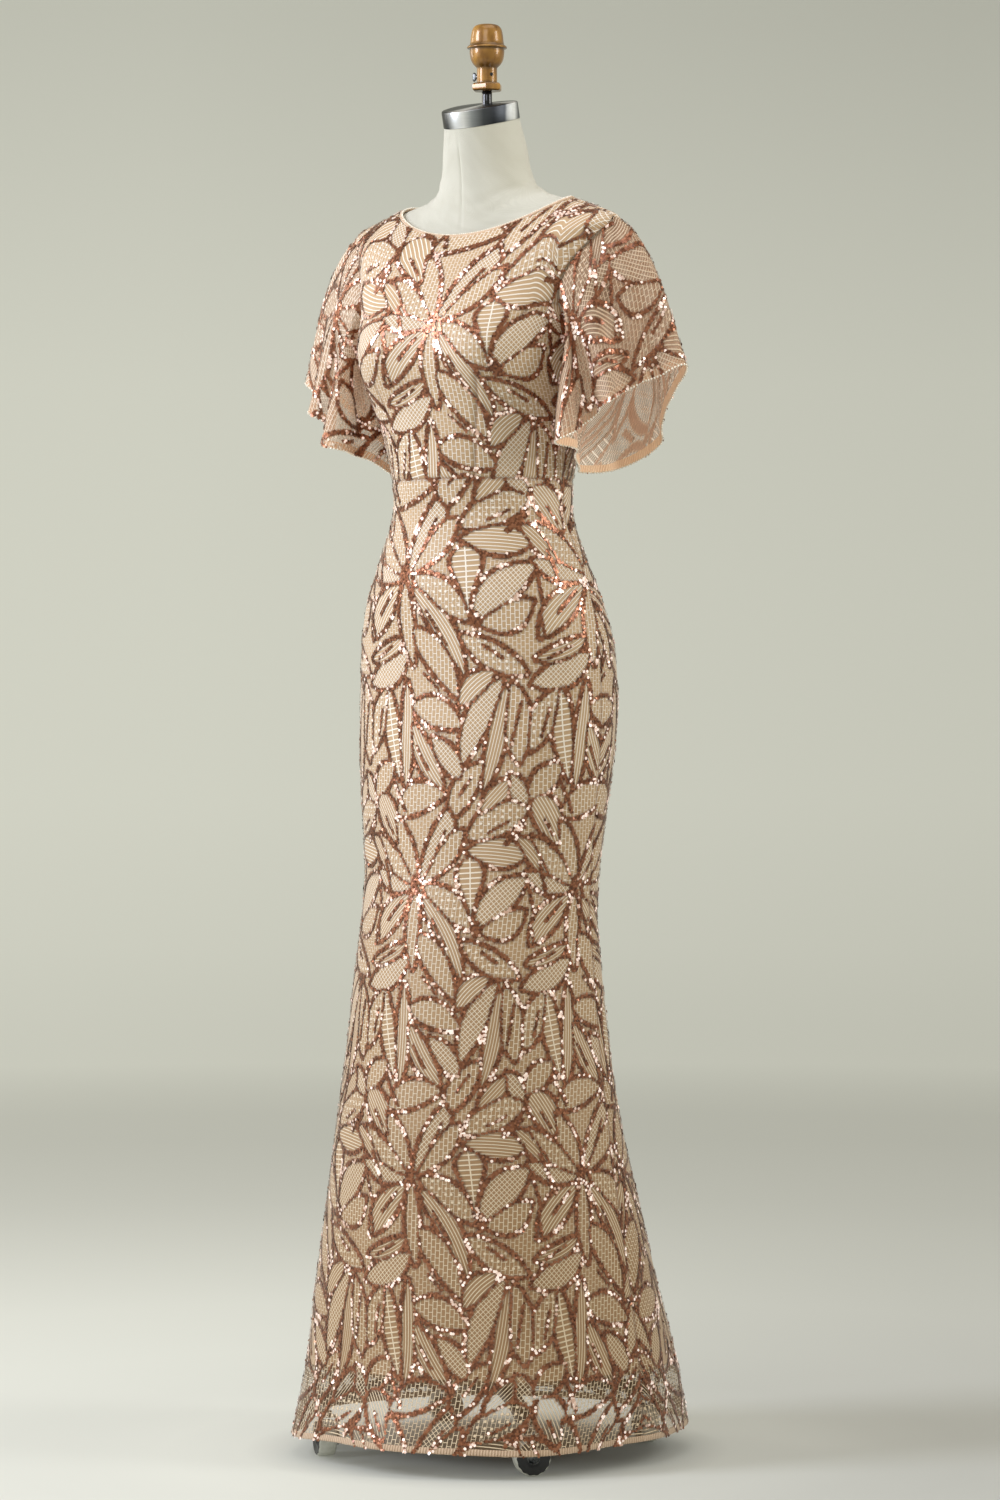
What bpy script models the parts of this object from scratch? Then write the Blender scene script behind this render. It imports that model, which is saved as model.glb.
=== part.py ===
"""Evening gown of sequinned mesh on a limbless dress form with a rolling stand.

Frame: metres, +Z up, the front towards -Y, the wearer's left towards +X, and the origin on the
floor under the middle of the gown. The gown is a fitted mermaid shape: a bodice and a skirt of
mesh over a nude lining, joined at a waist seam, with two wide flutter sleeves of unlined mesh.
Every layer of cloth is worked out from one body surface, moved outwards along its normals.
"""

import math
from collections import namedtuple

import bpy
import numpy as np

# ---------------------------------------------------------------- driving dimensions, in metres

GAP = 0.0003  # between pieces that touch
SEAM = GAP / 2  # each panel stops this far short of its seam line

LINING_INNER = 0.0010  # cloth layers, as distances out from the form's skin
LINING_OUTER = 0.0020
SHELL_INNER = 0.0028
SHELL_OUTER = 0.0040
TAPE_INNER = 0.0014
TAPE_OUTER = 0.0036
BINDING_INNER = 0.0012
BINDING_OUTER = 0.0042
LINING_DROP = 0.006  # the skirt's lining hangs this much further in, from the knees down
LINING_DROP_FROM = 0.80
LINING_DROP_TO = 0.50
SHOULDER_EASE = 0.0020  # the form is this much smaller beside the armholes
SLEEVE_WALL = 0.0012

HEM_LEVEL = 0.030
LINING_HEM_LEVEL = 0.110
FORM_BOTTOM_LEVEL = 0.800
ZIP_BOTTOM_LEVEL = 1.012
WAIST_LEVEL = 1.193
UNDERARM_LEVEL = 1.360
SHOULDER_LEVEL = 1.508
BINDING_LEVEL = 1.5317
NECKLINE_LEVEL = 1.534
NECK_TOP_LEVEL = 1.6382
NECK_TILT = math.radians(14)

COLUMNS = 18  # columns of cloth over half of the body
EDGE_COLUMNS = 4  # of these, how many at each side follow the armhole
ARMHOLE_FRONT = 0.50  # radians from the side line to the armhole's edge, at its widest
ARMHOLE_BACK = 0.42
ARMHOLE_ROUNDNESS = 0.6

BUST_DEPTH = 0.019
BUST_X = 0.085
BUST_Z = 1.345
BUST_SPREAD_X = 0.047
BUST_SPREAD_Z = 0.050

ZIP_HALF_WIDTH = 0.0030
ZIP_TOP_LEVEL = 1.5312

# ---------------------------------------------------------------- the body's sections

# Each section is an oval round the body. level is its height at the sides; square swells it
# at its four corners, as over a chest.
Section = namedtuple("Section", "level half_width front back z_front z_back square")
BODY = [
    #       level  half   front  back  z_front z_back square
    Section(0.030, 0.234, 0.235, 0.2345, 0.030, 0.030, 0.00),  # gown's hem
    Section(0.110, 0.226, 0.207, 0.217, 0.110, 0.110, 0.00),
    Section(0.205, 0.212, 0.199, 0.182, 0.205, 0.205, 0.00),
    Section(0.305, 0.194, 0.193, 0.154, 0.305, 0.305, 0.00),
    Section(0.405, 0.177, 0.188, 0.119, 0.405, 0.405, 0.00),
    Section(0.505, 0.164, 0.175, 0.096, 0.505, 0.505, 0.00),
    Section(0.600, 0.155, 0.162, 0.082, 0.600, 0.600, 0.00),
    Section(0.660, 0.150, 0.150, 0.077, 0.660, 0.660, 0.00),  # knees
    Section(0.720, 0.152, 0.136, 0.086, 0.720, 0.720, 0.00),
    Section(0.800, 0.159, 0.129, 0.105, 0.800, 0.800, 0.01),
    Section(0.870, 0.165, 0.124, 0.123, 0.870, 0.870, 0.01),
    Section(0.945, 0.166, 0.117, 0.130, 0.945, 0.945, 0.01),  # hips
    Section(1.000, 0.163, 0.119, 0.115, 1.000, 1.000, 0.01),
    Section(1.050, 0.151, 0.122, 0.092, 1.050, 1.050, 0.01),
    Section(1.100, 0.132, 0.116, 0.075, 1.100, 1.100, 0.00),
    Section(1.150, 0.113, 0.111, 0.073, 1.150, 1.150, 0.00),
    Section(1.193, 0.111, 0.116, 0.081, 1.193, 1.193, 0.00),  # waist seam
    Section(1.240, 0.119, 0.121, 0.092, 1.240, 1.240, 0.02),
    Section(1.285, 0.129, 0.128, 0.099, 1.285, 1.285, 0.05),
    Section(1.335, 0.140, 0.138, 0.103, 1.335, 1.335, 0.07),  # bust
    Section(1.360, 0.145, 0.137, 0.105, 1.358, 1.358, 0.07),  # underarm
    Section(1.400, 0.152, 0.127, 0.106, 1.391, 1.394, 0.06),
    Section(1.440, 0.161, 0.112, 0.101, 1.420, 1.429, 0.05),
    Section(1.475, 0.172, 0.098, 0.092, 1.444, 1.459, 0.04),
    Section(1.498, 0.182, 0.087, 0.082, 1.461, 1.480, 0.02),
    Section(1.508, 0.185, 0.080, 0.075, 1.469, 1.491, 0.01),  # shoulder point
    Section(1.516, 0.169, 0.074, 0.068, 1.476, 1.500, 0.00),
    Section(1.524, 0.147, 0.068, 0.062, 1.482, 1.509, 0.00),
    Section(1.530, 0.130, 0.063, 0.058, 1.487, 1.516, 0.00),
    Section(1.534, 0.118, 0.060, 0.055, 1.490, 1.521, 0.00),  # neckline
    Section(1.541, 0.093, 0.057, 0.054, 1.499, 1.530, 0.00),
    Section(1.552, 0.071, 0.055, 0.054, 1.518, 1.545, 0.00),  # foot of the neck
    Section(1.572, 0.058, 0.055, 0.052, 1.555, 1.568, 0.00),
    Section(1.605, 0.051, 0.060, 0.044, 1.594, 1.610, 0.00),
    Section(1.638, 0.046, 0.064, 0.023, 1.622, 1.644, 0.00),  # top of the neck
]

# Soft flutes round the foot of the skirt: a ridge stands out, a trough goes in.
# Each is full at the hem, where it also sags, and dies out at its rise.
Flute = namedtuple("Flute", "angle half_width depth sag rise")
SKIRT_FLUTES = [
    Flute(12, 13, -0.012, 0.000, 0.42),
    Flute(43, 15, 0.007, 0.002, 0.36),
    Flute(82, 12, 0.003, 0.000, 0.30),
    Flute(106, 10, -0.006, 0.000, 0.34),
    Flute(130, 14, 0.006, 0.005, 0.34),
    Flute(154, 13, -0.008, 0.010, 0.30),
    Flute(178, 12, 0.005, 0.000, 0.32),
    Flute(200, 11, -0.006, 0.000, 0.36),
    Flute(222, 14, 0.008, 0.002, 0.40),
    Flute(252, 12, -0.006, 0.000, 0.42),
    Flute(270, 10, 0.003, 0.000, 0.36),
    Flute(288, 11, -0.005, 0.000, 0.40),
    Flute(318, 15, 0.012, 0.000, 0.42),
]

# The sleeve's lower edge, once round: turn 0 is over the arm, 0.25 in front, 0.5 under it.
HemPoint = namedtuple("HemPoint", "turn x y z")
SLEEVE_HEM = [
    HemPoint(0.00, 0.284, 0.012, 1.326),
    HemPoint(0.07, 0.260, -0.012, 1.313),
    HemPoint(0.13, 0.240, -0.028, 1.302),  # trough
    HemPoint(0.20, 0.229, -0.064, 1.284),  # ridge
    HemPoint(0.27, 0.203, -0.058, 1.268),  # trough
    HemPoint(0.34, 0.183, -0.090, 1.240),  # ridge, the long fold in front of the arm
    HemPoint(0.40, 0.157, -0.080, 1.232),
    HemPoint(0.45, 0.158, -0.042, 1.226),
    HemPoint(0.52, 0.138, -0.006, 1.206),
    HemPoint(0.60, 0.136, 0.034, 1.202),
    HemPoint(0.68, 0.150, 0.068, 1.208),
    HemPoint(0.76, 0.180, 0.080, 1.222),  # trough
    HemPoint(0.83, 0.206, 0.080, 1.240),  # ridge
    HemPoint(0.90, 0.226, 0.048, 1.272),
    HemPoint(0.96, 0.262, 0.038, 1.308),
]

# How the sleeve leaves the armhole and how it arrives at its hem, as directions and handle
# lengths of the curve that joins the two.
SleeveRun = namedtuple("SleeveRun", "turn x y z handle hem_x hem_y hem_z hem_handle")
SLEEVE_RUNS = [
    SleeveRun(0.00, 0.93, 0.03, -0.36, 0.056, 0.30, 0.05, -0.95, 0.060),
    SleeveRun(0.25, 0.74, -0.40, -0.50, 0.036, 0.22, -0.12, -0.97, 0.060),
    SleeveRun(0.50, 0.86, 0.00, -0.50, 0.024, 0.00, 0.00, -1.00, 0.050),
    SleeveRun(0.75, 0.78, 0.48, -0.40, 0.040, 0.16, 0.16, -0.97, 0.060),
]
SLEEVE_COLUMNS = 32
SLEEVE_ROWS = (0.0, 0.1, 0.26, 0.46, 0.66, 0.84, 1.0)

# Heights of the rows of cloth and of the form.
SKIRT_LEVELS = (HEM_LEVEL, LINING_HEM_LEVEL, 0.205, 0.305, 0.405, 0.505, 0.600, 0.680, 0.740,
                FORM_BOTTOM_LEVEL, 0.865, 0.930, 1.000, ZIP_BOTTOM_LEVEL, 1.050, 1.100, 1.145,
                WAIST_LEVEL)
SKIRT_LINING_LEVELS = SKIRT_LEVELS[1:]
BODICE_LEVELS = (WAIST_LEVEL, 1.235, 1.280, 1.320, UNDERARM_LEVEL, 1.368, 1.385, 1.410, 1.440,
                 1.470, 1.493, SHOULDER_LEVEL, 1.519, BINDING_LEVEL)
FORM_LEVELS = (FORM_BOTTOM_LEVEL, 0.865, 0.930, 1.000, 1.050, 1.100, 1.145, WAIST_LEVEL, 1.235,
               1.280, 1.320, UNDERARM_LEVEL, 1.410, 1.440, 1.470, 1.493, SHOULDER_LEVEL, 1.519,
               BINDING_LEVEL, 1.541, 1.552, 1.572, 1.605)

# ---------------------------------------------------------------- the stand, in metres

LEG_AZIMUTH = math.radians(-41.7)  # the first leg, measured from +X
LEG_COUNT = 4
POLE_RADIUS = 0.0125
HUB_RADIUS = 0.030
HUB_BOTTOM = 0.072
HUB_TOP = 0.132
CASTER_DISTANCE = 0.205
CASTER_TRAIL = 0.006
WHEEL_RADIUS = 0.0225
WHEEL_HALF_WIDTH = 0.011
WHEEL_SIDES = 16
WHEEL_CENTRE = WHEEL_RADIUS * math.cos(math.pi / WHEEL_SIDES)
CHEEK_INNER = 0.0145
CHEEK_OUTER = 0.0165
CASTER_PLATE_BOTTOM = 0.0470
CASTER_PLATE_TOP = 0.0495
STEM_RADIUS = 0.005
STEM_TOP = 0.0607
LEG_END_BOTTOM = STEM_TOP + GAP
CAP_HEIGHT = 0.0215
ROD_RADIUS = 0.0063
ROD_TOP = 1.6750
SCREW_HEIGHT = 1.6942

# The finial, turned: (radius, height), from its six-sided foot to its crown.
FINIAL_FOOT = ((0.0148, 1.6753), (0.0170, 1.6768), (0.0170, 1.6832), (0.0150, 1.6850))
FINIAL_TURNING = (
    (0.0126, 1.6856), (0.0125, 1.7030), (0.0133, 1.7046), (0.0170, 1.7084), (0.0200, 1.7140),
    (0.0213, 1.7210), (0.0216, 1.7272), (0.0242, 1.7276), (0.0248, 1.7290), (0.0240, 1.7306),
    (0.0216, 1.7325), (0.0203, 1.7380), (0.0196, 1.7450), (0.0178, 1.7520), (0.0140, 1.7563),
    (0.0080, 1.7580),
)
COLLAR_RADIUS = 0.0125


# ---------------------------------------------------------------- curves through tables


def smooth_through(knots, values, at):
    """A curve through (knots, values), smooth at each knot, read at the places `at`."""
    knots = np.asarray(knots, float)
    values = np.asarray(values, float)
    slopes = np.gradient(values, knots)
    at = np.clip(at, knots[0], knots[-1])
    left = np.clip(np.searchsorted(knots, at, side="right") - 1, 0, len(knots) - 2)
    span = knots[left + 1] - knots[left]
    t = (at - knots[left]) / span
    return (
        values[left] * (1 + 2 * t) * (1 - t) ** 2
        + span * slopes[left] * t * (1 - t) ** 2
        + values[left + 1] * t**2 * (3 - 2 * t)
        - span * slopes[left + 1] * t**2 * (1 - t)
    )


def smooth_round(turns, values, at):
    """The same for a closed loop, where turn 1 is turn 0 again."""
    turns = np.asarray(turns, float)
    values = np.asarray(values, float)
    wrapped = np.concatenate([turns[-2:] - 1, turns, turns[:2] + 1])
    return smooth_through(wrapped, np.concatenate([values[-2:], values, values[:2]]), at % 1.0)


def column(rows, name):
    return [getattr(row, name) for row in rows]


# ---------------------------------------------------------------- the body surface


def body_point(angle, level):
    """The form's skin. angle turns from +X (0) through the front (90) to the back (270)."""
    angle, level = np.broadcast_arrays(np.asarray(angle, float), np.asarray(level, float))

    def at(name):
        return smooth_through(column(BODY, "level"), column(BODY, name), level)

    cos, sin = np.cos(angle), np.sin(angle)
    swell = 1 + at("square") * np.sin(2 * angle) ** 2
    x = at("half_width") * cos * swell
    y = -np.where(sin > 0, at("front"), at("back")) * sin * swell
    middle = (at("z_front") + at("z_back")) / 2 - level
    tilt = (at("z_front") - at("z_back")) / 2
    z = level + middle * sin**2 + tilt * sin

    height = np.exp(-(((z - BUST_Z) / BUST_SPREAD_Z) ** 2))
    for side in (-1, 1):
        across = np.exp(-(((x - side * BUST_X) / BUST_SPREAD_X) ** 2))
        y = y - BUST_DEPTH * height * across * np.clip(sin, 0, 1)

    for flute in SKIRT_FLUTES:
        away = (np.degrees(angle) - flute.angle + 180) % 360 - 180
        fade = np.clip((flute.rise - level) / (flute.rise - HEM_LEVEL), 0, 1)
        share = np.exp(-((away / flute.half_width) ** 2)) * fade**1.5
        x = x + flute.depth * share * cos
        y = y - flute.depth * share * sin
        z = z - flute.sag * share
    return np.stack([x, y, z], axis=-1)


def body_normal(angle, level):
    turn, rise = 1e-4, 1e-5
    along = body_point(angle + turn, level) - body_point(angle - turn, level)
    up = body_point(angle, level + rise) - body_point(angle, level - rise)
    normal = np.cross(up, along)
    return normal / np.linalg.norm(normal, axis=-1, keepdims=True)


def body_layer(angle, level, out):
    return body_point(angle, level) + out * body_normal(angle, level)


def armhole_turn(level, widest):
    """How far round from the side line the armhole's edge lies at a level."""
    share = (level - UNDERARM_LEVEL) / (SHOULDER_LEVEL - UNDERARM_LEVEL)
    inside = np.clip(np.sin(math.pi * np.clip(share, 0, 1)), 0, 1)
    return widest * inside**ARMHOLE_ROUNDNESS


# ---------------------------------------------------------------- meshes


def material(name, colour, roughness, metallic=0.0):
    made = bpy.data.materials.new(name)
    made.use_nodes = True
    shader = made.node_tree.nodes["Principled BSDF"]
    shader.inputs["Base Color"].default_value = (*colour, 1)
    shader.inputs["Roughness"].default_value = roughness
    shader.inputs["Metallic"].default_value = metallic
    made.diffuse_color = (*colour, 1)
    return made


def add_object(name, points, faces, finish, parent=None, place=(0, 0, 0)):
    """An object with its origin at `place`, from points given in world metres."""
    mesh = bpy.data.meshes.new(name)
    local = np.asarray(points, float) - np.asarray(place, float)
    mesh.from_pydata([tuple(p) for p in local.tolist()], [], [tuple(f) for f in faces])
    mesh.materials.append(finish)
    mesh.shade_smooth()
    mesh.set_sharp_from_angle(angle=math.radians(35))
    made = bpy.data.objects.new(name, mesh)
    made.location = place
    bpy.context.scene.collection.objects.link(made)
    if parent:
        made.parent = parent
        made.matrix_parent_inverse = parent.matrix_world.inverted()
    return made


def strip_faces(first, second, flip=False):
    """Triangles between two equal rows of point numbers, all cut along the same diagonal."""
    faces = []
    for i in range(len(first) - 1):
        for face in ((first[i], first[i + 1], second[i + 1]), (first[i], second[i + 1], second[i])):
            faces.append(face[::-1] if flip else face)
    return faces


def wall(name, inner, outer, finish, closed=False):
    """A closed wall between two grids of (rows, columns, 3) points, open or closed round."""
    rows, columns = inner.shape[:2]
    count = rows * columns
    number = np.arange(count).reshape(rows, columns)
    ring = np.concatenate([number, number[:, :1]], axis=1) if closed else number
    faces = []
    for r in range(rows - 1):
        low, high = ring[r].tolist(), ring[r + 1].tolist()
        faces += strip_faces([n + count for n in low], [n + count for n in high], flip=True)
        faces += strip_faces(low, high)
    for r, flip in ((0, False), (rows - 1, True)):
        edge = ring[r].tolist()
        faces += strip_faces([n + count for n in edge], edge, flip=flip)
    if not closed:
        for c, flip in ((0, True), (columns - 1, False)):
            edge = ring[:, c].tolist()
            faces += strip_faces([n + count for n in edge], edge, flip=flip)
    points = np.concatenate([inner.reshape(-1, 3), outer.reshape(-1, 3)])
    return add_object(name, points, face_outwards(points, faces), finish)


def face_outwards(points, faces):
    """The faces, all turned round if together they enclose a negative volume."""
    volume = 0.0
    for face in faces:
        a = points[face[0]]
        for i in range(1, len(face) - 1):
            volume += float(np.dot(a, np.cross(points[face[i]], points[face[i + 1]])))
    return faces if volume > 0 else [face[::-1] for face in faces]


def stack_of_rings(name, rings, finish, parent=None, place=(0, 0, 0)):
    """A solid through rings of equal point counts, its two ends closed flat."""
    count = len(rings[0])
    points = np.concatenate([np.asarray(ring, float) for ring in rings])
    faces = []
    for r in range(len(rings) - 1):
        low = [r * count + i for i in range(count)] + [r * count]
        faces += strip_faces(low, [n + count for n in low])
    faces.append(tuple(range(count))[::-1])
    faces.append(tuple(range((len(rings) - 1) * count, len(rings) * count)))
    return add_object(name, points, face_outwards(points, faces), finish, parent, place)


def circle(radius, centre, along=(0, 0, 1), sides=24, start=0.0, across_flats=False):
    """A ring of points round an axis."""
    along = np.asarray(along, float)
    side = np.cross(along, (0, 0, 1)) if abs(along[2]) < 0.9 else np.array([1.0, 0, 0])
    side /= np.linalg.norm(side)
    other = np.cross(along, side)
    turn = start + np.arange(sides) * 2 * math.pi / sides
    if across_flats:
        radius = radius / np.cos((turn - start) % (math.pi / 3) - math.pi / 6)
    spread = np.cos(turn)[:, None] * side + np.sin(turn)[:, None] * other
    return np.asarray(centre, float) + np.reshape(radius, (-1, 1)) * spread


def pull_in(grid, low=0.0, high=0.0, first=0.0, last=0.0):
    """Moves the grid's edges back from their seam lines: low and high rows, first and last columns."""
    moved = grid.copy()

    def towards(start, end, distance):
        step = end - start
        length = np.linalg.norm(step, axis=-1, keepdims=True)
        return start + step / length * np.reshape(distance, (-1, 1))

    moved[:, 0] = towards(moved[:, 0], grid[:, 1], first)
    moved[:, -1] = towards(moved[:, -1], grid[:, -2], last)
    moved[0] = towards(moved[0], moved[1], low)
    moved[-1] = towards(moved[-1], moved[-2], high)
    return moved


# ---------------------------------------------------------------- the gown's panels


def panel_angles(side, turn):
    """Columns across a panel, row by row, from one edge to the other as the angle grows.

    The outermost columns close up to make room for the armhole; the rest stay where they are."""
    half = np.arange(COLUMNS // 2 + 1) * math.pi / COLUMNS
    share = np.minimum(np.arange(COLUMNS // 2 + 1) / EDGE_COLUMNS, 1)
    quarter = half + turn * (1 - share)
    if side == "front":
        return np.concatenate([quarter, math.pi - quarter[:, -2::-1]], axis=1)
    if side == "left":
        return -quarter[:, ::-1]
    return math.pi + quarter


def panel(name, levels, layers, side, finish):
    """One panel of cloth. side is front, left (the wearer's left back) or right."""
    level = np.array(levels)[:, None]
    turn = armhole_turn(level, ARMHOLE_FRONT if side == "front" else ARMHOLE_BACK)
    angle = panel_angles(side, turn)
    level = np.broadcast_to(level, angle.shape)
    middle = np.where(level[:, 0] > ZIP_BOTTOM_LEVEL - 1e-6, ZIP_HALF_WIDTH + GAP, SEAM)
    low = 0.0 if levels[0] in (HEM_LEVEL, LINING_HEM_LEVEL) else SEAM
    drop = 0.0
    if levels[0] == LINING_HEM_LEVEL:
        drop = LINING_DROP * np.clip(
            (LINING_DROP_FROM - level[..., None]) / (LINING_DROP_FROM - LINING_DROP_TO), 0, 1
        )
    grids = []
    for out in layers:
        grid = body_layer(angle, level, out - drop)
        first = middle if side == "left" else SEAM
        last = middle if side == "right" else SEAM
        grids.append(pull_in(grid, low=low, high=SEAM, first=first, last=last))
    return wall(name, grids[0], grids[1], finish)


def bound_edge(finish):
    """The narrow binding round the neckline."""
    angle = np.arange(2 * COLUMNS) * math.pi / COLUMNS
    level = np.array([BINDING_LEVEL + GAP / 2, NECKLINE_LEVEL])[:, None]
    angle = np.broadcast_to(angle, (2, 2 * COLUMNS))
    inner = body_layer(angle, np.broadcast_to(level, angle.shape), BINDING_INNER)
    outer = body_layer(angle, np.broadcast_to(level, angle.shape), BINDING_OUTER)
    wall("neck_binding", inner, outer, finish, closed=True)


def armhole_ring(side):
    """Points round the armhole just inside the bodice's edge, from the shoulder by the front."""
    levels = np.array([lv for lv in BODICE_LEVELS if UNDERARM_LEVEL <= lv <= SHOULDER_LEVEL])
    front = body_layer(armhole_turn(levels, ARMHOLE_FRONT), levels, SHELL_OUTER)
    back = body_layer(-armhole_turn(levels, ARMHOLE_BACK), levels, SHELL_OUTER)
    ring = np.concatenate([front[::-1], back[1:]])
    lengths = np.linalg.norm(np.diff(ring, axis=0), axis=1)
    travelled = np.concatenate([[0], np.cumsum(lengths)]) / lengths.sum()
    turn = np.arange(SLEEVE_COLUMNS) / SLEEVE_COLUMNS
    even = np.stack([np.interp(turn, travelled, ring[:, k]) for k in range(3)], axis=1)
    inwards = even.mean(axis=0) - even
    inwards /= np.linalg.norm(inwards, axis=1, keepdims=True)
    even += inwards * 2 * GAP
    return turn, even * (side, 1, 1)


def sleeve_surface(side, shares):
    """The sleeve's outer face: at each turn, a curve from the armhole to the hem."""
    turn, start = armhole_ring(side)

    def read(rows, *names):
        return np.stack([smooth_round(column(rows, "turn"), column(rows, n), turn) for n in names], 1)

    hem = read(SLEEVE_HEM, "x", "y", "z") * (side, 1, 1)
    leave = read(SLEEVE_RUNS, "x", "y", "z") * (side, 1, 1)
    arrive = read(SLEEVE_RUNS, "hem_x", "hem_y", "hem_z") * (side, 1, 1)
    leave = leave / np.linalg.norm(leave, axis=1, keepdims=True) * read(SLEEVE_RUNS, "handle")
    arrive = arrive / np.linalg.norm(arrive, axis=1, keepdims=True)
    arrive = arrive * read(SLEEVE_RUNS, "hem_handle")
    t = np.reshape(shares, (-1, 1, 1))
    return (
        start * (1 - t) ** 3
        + (start + leave) * 3 * t * (1 - t) ** 2
        + (hem - arrive) * 3 * t**2 * (1 - t)
        + hem * t**3
    )


def sleeve(name, side, finish):
    shares = np.array(SLEEVE_ROWS)
    outer = sleeve_surface(side, shares)
    down = sleeve_surface(side, np.clip(shares + 1e-4, 0, 1)) - sleeve_surface(
        side, np.clip(shares - 1e-4, 0, 1)
    )
    around = np.roll(outer, -1, axis=1) - np.roll(outer, 1, axis=1)
    normal = np.cross(around, down) * side
    normal /= np.linalg.norm(normal, axis=-1, keepdims=True)
    wall(name, outer - SLEEVE_WALL * normal, outer, finish, closed=True)


def zip_strip(finish):
    """The tape and coil of the concealed zip, down the middle of the back."""
    levels = [lv for lv in SKIRT_LEVELS + BODICE_LEVELS[1:-1] if lv > ZIP_BOTTOM_LEVEL + 1e-6]
    level = np.array([ZIP_BOTTOM_LEVEL + 0.002] + levels + [ZIP_TOP_LEVEL])[:, None]
    back = np.full(level.shape, 1.5 * math.pi)
    grids = []
    for out in (TAPE_INNER, TAPE_OUTER):
        middle = body_layer(back, level, out)
        side = np.array([ZIP_HALF_WIDTH, 0, 0])
        grids.append(np.concatenate([middle - side, middle + side], axis=1))
    wall("zip_tape", grids[0], grids[1], finish)


def zip_slider_and_pull(finish):
    """A U-shaped slider with the pull tab's barrel between its two ears.

    The tab hangs along the cloth, and turns about X on its barrel."""
    level = 1.500
    slider_length, ear_height, ear_width, half_width, plate = 0.008, 0.0024, 0.0010, 0.0028, 0.0014
    centre = body_layer(1.5 * math.pi, level, SHELL_OUTER + GAP)
    below = body_layer(1.5 * math.pi, level - 0.004, SHELL_OUTER + GAP)
    down = (below - centre) / np.linalg.norm(below - centre)
    out = np.cross((-1.0, 0, 0), down)
    out = out if out[1] > 0 else -out

    def ring(profile, along):
        return [centre + np.array([x, 0, 0]) + out * n + down * along for x, n in profile]

    top = plate + ear_height
    profile = [
        (-half_width, 0), (half_width, 0), (half_width, top), (half_width - ear_width, top),
        (half_width - ear_width, plate), (ear_width - half_width, plate),
        (ear_width - half_width, top), (-half_width, top),
    ]
    stack_of_rings("zip_slider", [ring(profile, 0.0), ring(profile, slider_length)], finish)

    barrel_radius, tab_length, tab_half, tab_thick = 0.0008, 0.021, 0.0014, 0.0004
    axis = centre + out * (plate + 0.0013) + down * (slider_length - 0.0022)
    rings = []
    for x in (-tab_half, tab_half):
        points = []
        for turn in np.linspace(-0.75 * math.pi, 0.75 * math.pi, 9):
            back, lift = barrel_radius * math.cos(turn), barrel_radius * math.sin(turn)
            points.append(axis - down * back + out * lift)
        points.append(axis + down * tab_length + out * tab_thick)
        points.append(axis + down * (tab_length + 0.0003))
        points.append(axis + down * tab_length - out * tab_thick)
        rings.append(np.array(points) + np.array([x, 0, 0]))
    hinge = bpy.data.objects.new("zip_pull_axis", None)
    hinge.location = axis
    bpy.context.scene.collection.objects.link(hinge)
    bpy.context.view_layer.update()
    stack_of_rings("zip_pull", rings, finish, hinge, axis)


# ---------------------------------------------------------------- the dress form


def neck_ring(out, rise):
    """The neck's top edge, on its tilted plane, moved out and up along the plane's normal."""
    angle = np.arange(2 * COLUMNS) * math.pi / COLUMNS
    ring = body_point(angle, 1.638)
    middle = ring.mean(axis=0) * (1, 1, 0)
    flat = (ring - middle) * (1, 1, 0)
    flat = middle + flat * (1 + out / np.linalg.norm(flat, axis=1, keepdims=True))
    flat[:, 2] = NECK_TOP_LEVEL + flat[:, 1] * math.tan(NECK_TILT)
    return flat + rise * np.array([0, -math.sin(NECK_TILT), math.cos(NECK_TILT)])


def dress_form(canvas, steel):
    angle = np.arange(2 * COLUMNS) * math.pi / COLUMNS
    rings = []
    for level in FORM_LEVELS:
        beside_armhole = UNDERARM_LEVEL < level <= SHOULDER_LEVEL
        rings.append(body_layer(angle, level, -SHOULDER_EASE if beside_armhole else 0.0))
    rings.append(neck_ring(0.0, 0.0))
    stack_of_rings("form_torso", rings, canvas)
    edge = 0.0012
    cap = [
        neck_ring(0.0005, GAP), neck_ring(0.0005, CAP_HEIGHT - edge),
        neck_ring(0.0001, CAP_HEIGHT - edge * 0.3), neck_ring(-edge, CAP_HEIGHT),
    ]
    stack_of_rings("neck_cap", cap, steel)


def finial(brass, black, steel):
    top_of_cap = NECK_TOP_LEVEL + CAP_HEIGHT / math.cos(NECK_TILT)
    rod_bottom = top_of_cap + ROD_RADIUS * math.tan(NECK_TILT) + 2 * GAP
    rod = [circle(ROD_RADIUS, (0, 0, z), sides=16) for z in (rod_bottom, ROD_TOP)]
    stack_of_rings("neck_rod", rod, black)
    foot = [circle(r, (0, 0, z), sides=18, across_flats=True) for r, z in FINIAL_FOOT]
    turned = [circle(r, (0, 0, z), sides=18) for r, z in FINIAL_TURNING]
    stack_of_rings("finial", foot + turned, brass)

    place = np.array([-COLLAR_RADIUS - GAP, 0, SCREW_HEIGHT])
    hinge = bpy.data.objects.new("thumb_screw_axis", None)
    hinge.location = place
    bpy.context.scene.collection.objects.link(hinge)
    bpy.context.view_layer.update()
    # distance out from the collar, half height and half thickness of the wing there
    wing = ((0.0, 0.0022, 0.0022), (0.0028, 0.0022, 0.0022), (0.0040, 0.0042, 0.0014),
            (0.0062, 0.0056, 0.0012), (0.0080, 0.0050, 0.0011), (0.0086, 0.0036, 0.0007))
    turn = np.arange(12) * math.pi / 6
    rings = []
    for out, tall, thick in wing:
        x = np.full(12, place[0] - out)
        rings.append(np.stack([x, thick * np.cos(turn), place[2] + tall * np.sin(turn)], 1))
    stack_of_rings("thumb_screw", rings, steel, hinge, place)


# ---------------------------------------------------------------- the rolling stand


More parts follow.
